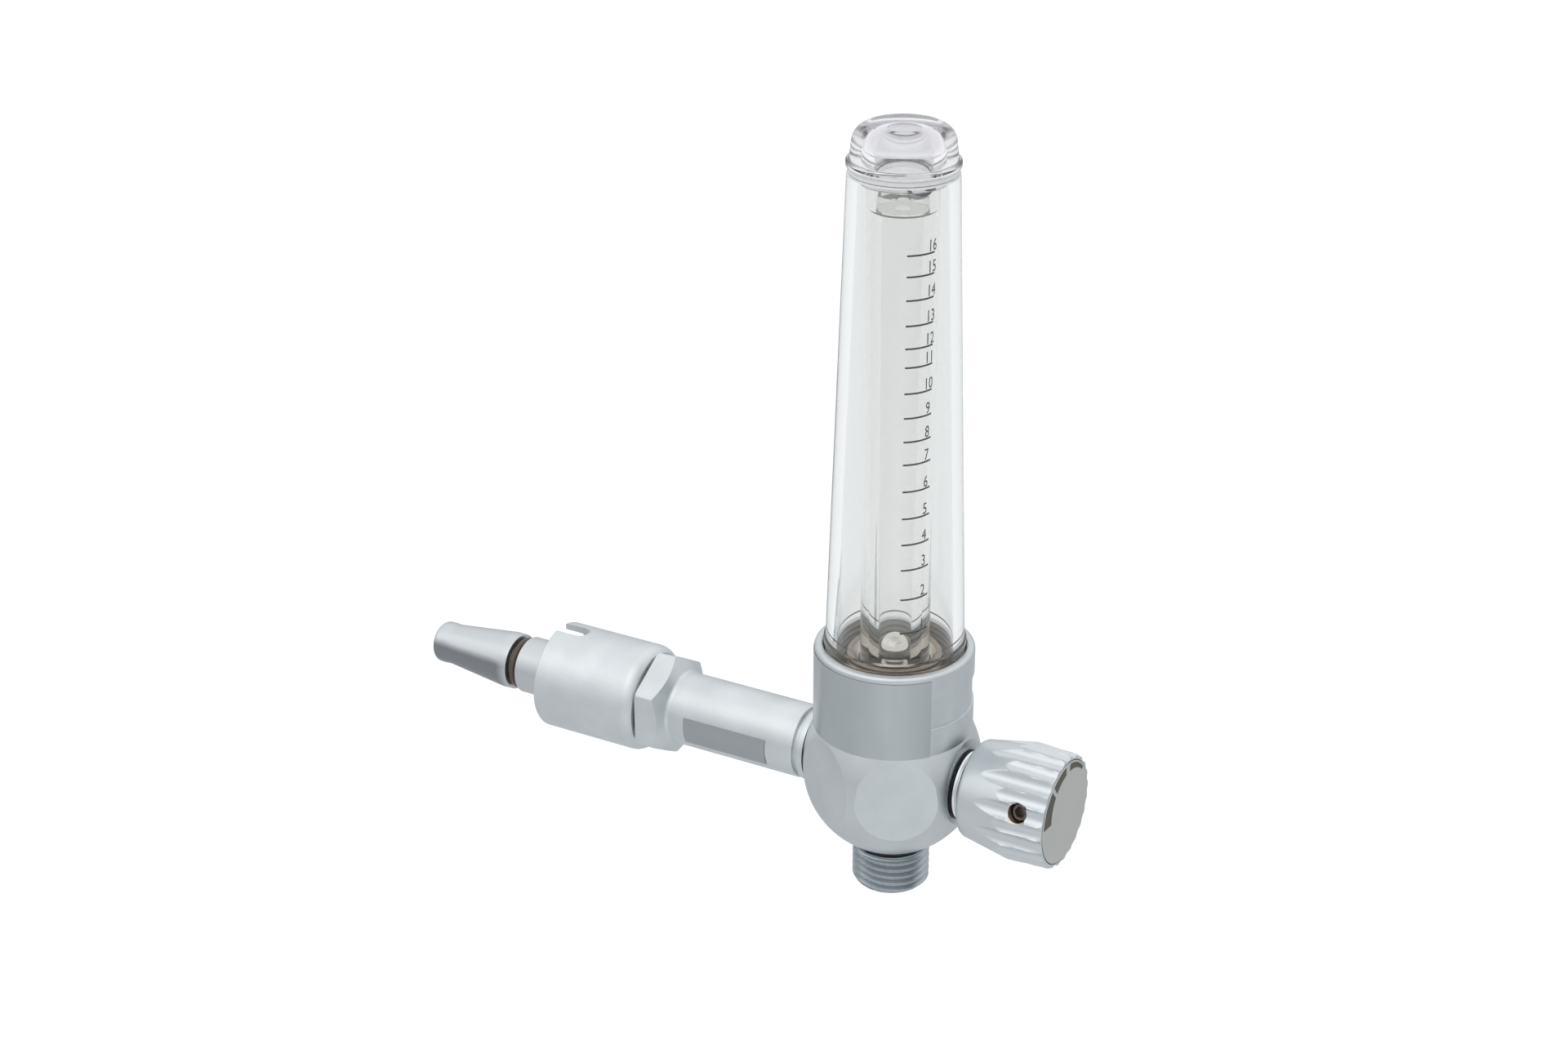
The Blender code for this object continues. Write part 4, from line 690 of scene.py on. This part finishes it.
# Scale: sixteen thin lines printed round the tube's right half, and a plain number above the end of each.
SCALE_HEIGHTS = [30.41, 37.02, 42.76, 47.66, 52.67, 57.8, 62.87, 67.14, 71.53, 76.04, 80.8, 84.2, 88.31,
                 92.83, 97.02, 100.75]
LINE_START = -3
LINE_SWEEP = 53
LINE_SHIFT = 0.35
HALF_LINE = 0.16
INK_RADIUS = TUBE_RADIUS + 0.04
INK_INSIDE = INK_RADIUS - 0.03
NUMBER_HEIGHT = 3.0
NUMBER_DIRECTION = math.radians(-17)
ink = matt("dark_scale_ink", (0.012, 0.010, 0.010), 0.7)
marks = []
for i, level in enumerate(SCALE_HEIGHTS):
    mark = turned(f"line_{i + 1}", [
        (INK_INSIDE, level + HALF_LINE), (INK_RADIUS, level + HALF_LINE), (INK_RADIUS, level - HALF_LINE),
        (INK_INSIDE, level - HALF_LINE)],
        steps=20, start=LINE_START - LINE_SHIFT * i, sweep=LINE_SWEEP - LINE_SHIFT * i)
    marks.append(mark)
    bpy.ops.object.text_add()
    number = bpy.context.object
    number.data.body = str(i + 1)
    number.data.size = NUMBER_HEIGHT * MM
    number.data.align_x = "CENTER"
    number.data.extrude = 0.012 * MM
    number.data.resolution_u = 3
    bpy.ops.object.convert(target="MESH")
    number = bpy.context.object
    for vertex in number.data.vertices:
        direction = NUMBER_DIRECTION + math.radians(0.3 * i) + vertex.co.x * 0.75 / (INK_RADIUS * MM)
        reach = (INK_RADIUS - 0.015) * MM + vertex.co.z
        vertex.co = TUBE_CENTRE + Vector((reach * math.cos(direction), reach * math.sin(direction),
                                          level * MM + 0.3 * MM + vertex.co.y))
    marks.append(number)
bpy.ops.object.select_all(action="DESELECT")
for mark in marks:
    mark.select_set(True)
bpy.context.view_layer.objects.active = marks[0]
bpy.ops.object.join()
scale = bpy.context.object
scale.name = "printed_scale"
fitted(scale, ink, "meter", "dark_rubber")

# Outer cover: clear plastic, moulded with a draft, so it tapers towards the top. Its beaded foot has a
# thread, which screws into the body's cup over a gasket. Its top edge is frosted, and the thread's flanks
# are matt and painted pale tan: painted light that lifts the shade in the gap round them.
cover_low, cover_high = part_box("outer_cover")
cover_bottom = cover_low.z / MM
cover_top = cover_high.z / MM
TOP_RADIUS = 9.6
TOP_INSIDE = 7.6
BEAD_RADIUS = 12.8
BEAD_TOP = 26.85
BEAD_BOTTOM = 25.6
TAPER_FOOT = 27.2
WALL_INSIDE = 10.5
COVER_THREAD_TOP = 25.2
COVER_THREAD_ROWS = 36
COVER_THREAD_PITCH = 1.15
COVER_THREAD_DEPTH = 0.4
FOOT_RADIUS = 12.6
cover_acrylic = clear_plastic("clear_cover_plastic", (0.855, 0.86, 0.85))
foot_haze = faded(height_of(cover_acrylic), 26.5 * MM, 25.0 * MM, peak=0.16)
feed(cover_acrylic, "Roughness", 0.01 + noise(cover_acrylic, 300) * 0.03 + foot_haze)
row_height = (COVER_THREAD_TOP - cover_bottom - 0.3) / COVER_THREAD_ROWS
outline = [(TOP_RADIUS, cover_top, 0.3), (BEAD_RADIUS - 0.3, TAPER_FOOT), (BEAD_RADIUS, BEAD_TOP, 0.12),
           (BEAD_RADIUS, BEAD_BOTTOM, 0.12)]
outline += [(FOOT_RADIUS, COVER_THREAD_TOP - row_height * i) for i in range(COVER_THREAD_ROWS + 1)]
outline += [(FOOT_RADIUS - 0.3, cover_bottom), (WALL_INSIDE, cover_bottom), (WALL_INSIDE, TAPER_FOOT),
            (TOP_INSIDE, cover_top, 0.2)]
cover = turned("tapered_cover", outline, steps=160)
for vertex in cover.data.vertices:
    across = vertex.co - TUBE_CENTRE
    radius = math.hypot(across.x, across.y) / MM
    height = vertex.co.z / MM
    if abs(radius - FOOT_RADIUS) < 0.01 and height < COVER_THREAD_TOP - 0.3:
        turn = math.atan2(across.y, across.x) / (2 * math.pi)
        phase = (height / COVER_THREAD_PITCH + turn) % 1.0
        new_radius = FOOT_RADIUS - COVER_THREAD_DEPTH * (1 - abs(2 * phase - 1))
        across.x *= new_radius / radius
        across.y *= new_radius / radius
        vertex.co = TUBE_CENTRE + across
cover.data.materials.append(cover_acrylic)
cover.data.materials.append(frosted)
# Painted light: the thread's flanks are matt, and painted pale tan to lift the shade in the cup's gap.
thread_flanks_painted_light = matt("diffusing_cover_thread_painted_light", (0.86, 0.81, 0.75), 0.4)
cover.data.materials.append(thread_flanks_painted_light)
for face in cover.data.polygons:
    across = face.center - TUBE_CENTRE
    if face.center.z > (cover_top - 0.32) * MM:
        face.material_index = 1
    elif math.hypot(across.x, across.y) > 12.1 * MM and face.center.z < (COVER_THREAD_TOP - 0.1) * MM:
        face.material_index = 2
fitted(cover, cover_acrylic, "meter", "clear_plastic", "outer_cover")

# Cap: a clear dome whose flange sits on the cover over a milky gasket. Its spigot holds the tube's top,
# with a soft clear cushion between them, and its hollow has a small flat top.
cap_low, cap_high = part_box("cover_cap")
cap_bottom = cap_low.z / MM
cap_top = cap_high.z / MM
flange_low = cover_top + 1.0
flange_high = flange_low + 1.3
DOME_RADIUS = 8.9
DOME_ROUNDING = 3.2
FLANGE_RADIUS = 9.78
SPIGOT_OUTSIDE = 7.3
SPIGOT_INSIDE = 6.55
HOLLOW_RADIUS = 5.0
HOLLOW_SHOULDER = cap_top - 3.9
HOLLOW_TOP = cap_top - 2.1
cap = turned("domed_cap", [
    (0, cap_top), *arc(DOME_RADIUS - DOME_ROUNDING, cap_top - DOME_ROUNDING, DOME_ROUNDING, 90, 0, 16),
    (DOME_RADIUS + 0.3, flange_high, 0.2), (FLANGE_RADIUS, flange_high, 0.4),
    (FLANGE_RADIUS, flange_low, 0.4), (SPIGOT_OUTSIDE, flange_low, 0.15), (SPIGOT_OUTSIDE, cap_bottom, 0.2),
    (SPIGOT_INSIDE, cap_bottom, 0.15), (SPIGOT_INSIDE, tube_top + 1.1), (HOLLOW_RADIUS, tube_top + 1.1),
    (HOLLOW_RADIUS, HOLLOW_SHOULDER, 1.2), (2.8, HOLLOW_TOP, 0.3), (0, HOLLOW_TOP)], closed=False)
cap_plastic = clear_plastic("clear_cap_plastic", (0.87, 0.87, 0.895), index=1.4, haze=0.1)
# Painted reflection: the dome's colour turns a darker purple-grey towards its top.
dome_painted_reflection = faded(height_of(cap_plastic), cap_high.z - 3.6 * MM, cap_high.z - 1.2 * MM,
                 interpolation_type="SMOOTHSTEP")
feed(cap_plastic, "Base Color", mixed(dome_painted_reflection, (0.88, 0.88, 0.885), (0.76, 0.75, 0.785)))
fitted(cap, cap_plastic, "meter", "clear_plastic", "cover_cap")
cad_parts["cap_gasket"].data.materials[0] = frosted
cushion = clear_plastic("soft_cushion_plastic", (0.95, 0.95, 0.96), index=1.1)
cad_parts["tube_cushion"].data.materials[0] = cushion

# Valve: the chromed bonnet screws into the body's side over a thin black seal, and its rings show
# between the ball and the knob. Inside are the spindle, its seal and the white seat.
bonnet_end = (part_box("valve_bonnet")[1].x - TUBE_X) / MM
BONNET_FLANGE = 15.15
FLANGE_RINGS = 6.6
BARREL_RADIUS = 6.4
BONNET_THREAD = 5.0
BONNET_THREAD_END = 10.9
SPINDLE_BORE = 2.3
SEAL_POCKET = 3.2
chrome = satin_metal(
    "bonnet_chrome_plate", (0.92, 0.94, 0.96), 0.24, along=ROUND_PROBE, mottle=0.03, grain=0.1)
bonnet = turned("chromed_bonnet", [
    (BARREL_RADIUS, bonnet_end, 0.4), (BARREL_RADIUS, BONNET_FLANGE + 1.45, 0.12),
    (5.5, BONNET_FLANGE + 1.45), (5.5, BONNET_FLANGE + 1.0), (FLANGE_RINGS, BONNET_FLANGE + 1.0, 0.2),
    (6.25, BONNET_FLANGE + 0.5, 0.2), (FLANGE_RINGS, BONNET_FLANGE, 0.2), (BONNET_THREAD, BONNET_FLANGE),
    (BONNET_THREAD, BONNET_THREAD_END), (SEAL_POCKET, BONNET_THREAD_END), (SEAL_POCKET, 14.4),
    (SPINDLE_BORE, 14.4), (SPINDLE_BORE, bonnet_end)], "X", steps=112)
fitted(bonnet, chrome, "meter", "bonnet_chrome", "valve_bonnet")
bonnet_seal = turned("bonnet_ring", [
    (6.5, 14.8, 0.08), (6.5, 15.02, 0.08), (5.15, 15.02), (5.15, 14.8)], "X", steps=96)
fitted(bonnet_seal, black, "meter", "dark_rubber", "bonnet_seal")
spindle_steel = satin_metal("spindle_steel", (0.6, 0.6, 0.6), 0.22, along=ROUND_PROBE)
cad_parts["valve_spindle"].data.materials[0] = spindle_steel
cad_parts["spindle_seal"].data.materials[0] = black
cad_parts["valve_seat"].data.materials[0] = matt("white_seat_plastic", (0.85, 0.85, 0.83), 0.4)

# Knob: die-cast and plated, with twelve long and twelve short flutes pressed in from the front, and a
# countersunk hole through which a black socket screw clamps it to the spindle.
knob_low, knob_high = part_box("control_knob")
KNOB_BACK = (knob_low.x - TUBE_X) / MM
KNOB_FACE = (knob_high.x - TUBE_X) / MM
KNOB_RADIUS = 10.9
KNOB_SHOULDER = 26.8
KNOB_CHAMFER = 33.7
ROW_HEIGHT = 0.22
SKIN_ROWS = 68
HUB_FLOOR = KNOB_BACK + 3.2
DISC_SEAT = 33.2
BACK_RADIUS = 9.0
FLUTE_RADIUS = 1.9
FLUTE_DEPTH = 0.98
LONG_FLUTE_START = 21.0
SHORT_FLUTE_START = 25.0
SCREW_DIRECTION = math.radians(162)
SCREW_X = 29.5
SCREW_HOLE = 1.8
COUNTERSINK = 1.2


def knob_skin(x):
    """The knob's radius before its flutes are pressed in, at a distance from the tube's axis."""
    share = min(1.0, (x - KNOB_BACK) / (KNOB_SHOULDER - KNOB_BACK))
    return BACK_RADIUS + (KNOB_RADIUS - BACK_RADIUS) * share


outline = [(10.3, KNOB_FACE, 0.12)]
outline += [(knob_skin(x), x) for x in [KNOB_CHAMFER - ROW_HEIGHT * i for i in range(SKIN_ROWS)]]
outline += [(BACK_RADIUS + 0.05, KNOB_BACK, 1.1), (7.3, KNOB_BACK, 0.25), (7.3, HUB_FLOOR),
            (SPINDLE_BORE, HUB_FLOOR), (SPINDLE_BORE, DISC_SEAT), (9.7, DISC_SEAT), (9.7, KNOB_FACE)]
knob = turned("fluted_knob", outline, "X", steps=432)
for vertex in knob.data.vertices:
    x = (vertex.co.x - TUBE_X) / MM
    radius = math.hypot(vertex.co.y, vertex.co.z) / MM
    if radius > 9.3 and x > LONG_FLUTE_START - 1:
        direction = math.atan2(vertex.co.z, vertex.co.y)
        for i in range(24):
            offset = (direction - SCREW_DIRECTION - math.radians(15 * i) + math.pi) % (2 * math.pi) - math.pi
            if abs(offset) > math.radians(12):
                continue
            start = LONG_FLUTE_START if i % 2 == 0 else SHORT_FLUTE_START
            low = knob_skin(start) + FLUTE_RADIUS
            high = KNOB_RADIUS + FLUTE_RADIUS - FLUTE_DEPTH
            reach = low + (high - low) * (x - start) / (KNOB_FACE + 1 - start)
            width = FLUTE_RADIUS ** 2 - (reach * math.sin(offset)) ** 2
            if width <= 0:
                continue
            floor = reach * math.cos(offset) - math.sqrt(width)
            if floor < radius:
                vertex.co.y *= floor / radius
                vertex.co.z *= floor / radius
                radius = floor
pearl = satin_metal("pearl_knob_plate", (0.70, 0.73, 0.745), mottle=0.03, grain=0.2)
nickel = satin_metal("nickel_hole_wall", (0.80, 0.73, 0.65), 0.22, mottle=0.05, grain=0.1)
knob.data.materials.append(pearl)
screw_side = Vector((0, math.cos(SCREW_DIRECTION), math.sin(SCREW_DIRECTION)))
screw_turn = (SCREW_DIRECTION - math.radians(90), 0, 0)
hole_place = TUBE_CENTRE + Vector((SCREW_X, 0, 0)) * MM
bpy.ops.mesh.primitive_cylinder_add(
    vertices=48, radius=SCREW_HOLE * MM, depth=12 * MM, location=hole_place + screw_side * 8 * MM,
    rotation=screw_turn)
bpy.context.object.data.materials.append(nickel)
cut(knob, bpy.context.object)
bpy.ops.mesh.primitive_cone_add(
    vertices=48, radius1=SCREW_HOLE * MM, radius2=(SCREW_HOLE + COUNTERSINK) * MM, depth=COUNTERSINK * MM,
    location=hole_place + screw_side * 10.65 * MM, rotation=screw_turn)
bpy.context.object.data.materials.append(nickel)
cut(knob, bpy.context.object)
fitted(knob, pearl, "knob", "knob_metal", "control_knob", sharp=35)
screw_steel = matt("dark_screw_steel", (0.16, 0.14, 0.12), 0.3, metallic=1.0)
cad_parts["set_screw"].data.materials[0] = screw_steel

# Face disc: a satin disc that closes the knob's face, with a plain printed wedge round its upper half that
# swells in the opening direction.
DISC_FACE = (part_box("knob_cap")[1].x - TUBE_X) / MM - 0.03
DISC_BACK = 33.5
DISC_RADIUS = 9.55
disc = turned("face_disc", [
    (0, DISC_FACE), (DISC_RADIUS, DISC_FACE, 0.12), (DISC_RADIUS, DISC_BACK), (0, DISC_BACK)],
    "X", closed=False)
disc_metal = satin_metal("satin_face_disc", (0.64, 0.645, 0.60), 0.32, mottle=0.03, grain=0.15)
fitted(disc, disc_metal, "knob", "knob_metal", "knob_cap")
WEDGE_OUTER = 9.2
WEDGE_INNER = 6.0
WIDE_END = 176
NARROW_END = 39
WEDGE_PARTS = [(176, 45), (125, 33), (81, 42)]
olive = matt("olive_wedge_ink", (0.085, 0.078, 0.058), 0.55)
parts = []
for start, sweep in WEDGE_PARTS:
    part = turned(f"wedge_{start}", [
        (WEDGE_INNER, DISC_FACE + 0.005), (WEDGE_OUTER, DISC_FACE + 0.005), (WEDGE_OUTER, DISC_FACE + 0.02),
        (WEDGE_INNER, DISC_FACE + 0.02)], "X", steps=24, start=start, sweep=sweep)
    for vertex in part.data.vertices:
        radius = math.hypot(vertex.co.y, vertex.co.z) / MM
        if radius < WEDGE_OUTER - 0.1:
            turn = math.degrees(math.atan2(vertex.co.z, vertex.co.y)) % 360
            inner = WEDGE_INNER + 2.6 * min(1.0, (WIDE_END - turn) / (WIDE_END - NARROW_END))
            vertex.co.y *= inner / radius
            vertex.co.z *= inner / radius
    parts.append(part)
bpy.ops.object.select_all(action="DESELECT")
for part in parts:
    part.select_set(True)
bpy.context.view_layer.objects.active = parts[0]
bpy.ops.object.join()
wedge = bpy.context.object
wedge.name = "turning_wedge"
fitted(wedge, olive, "knob", "dark_rubber")
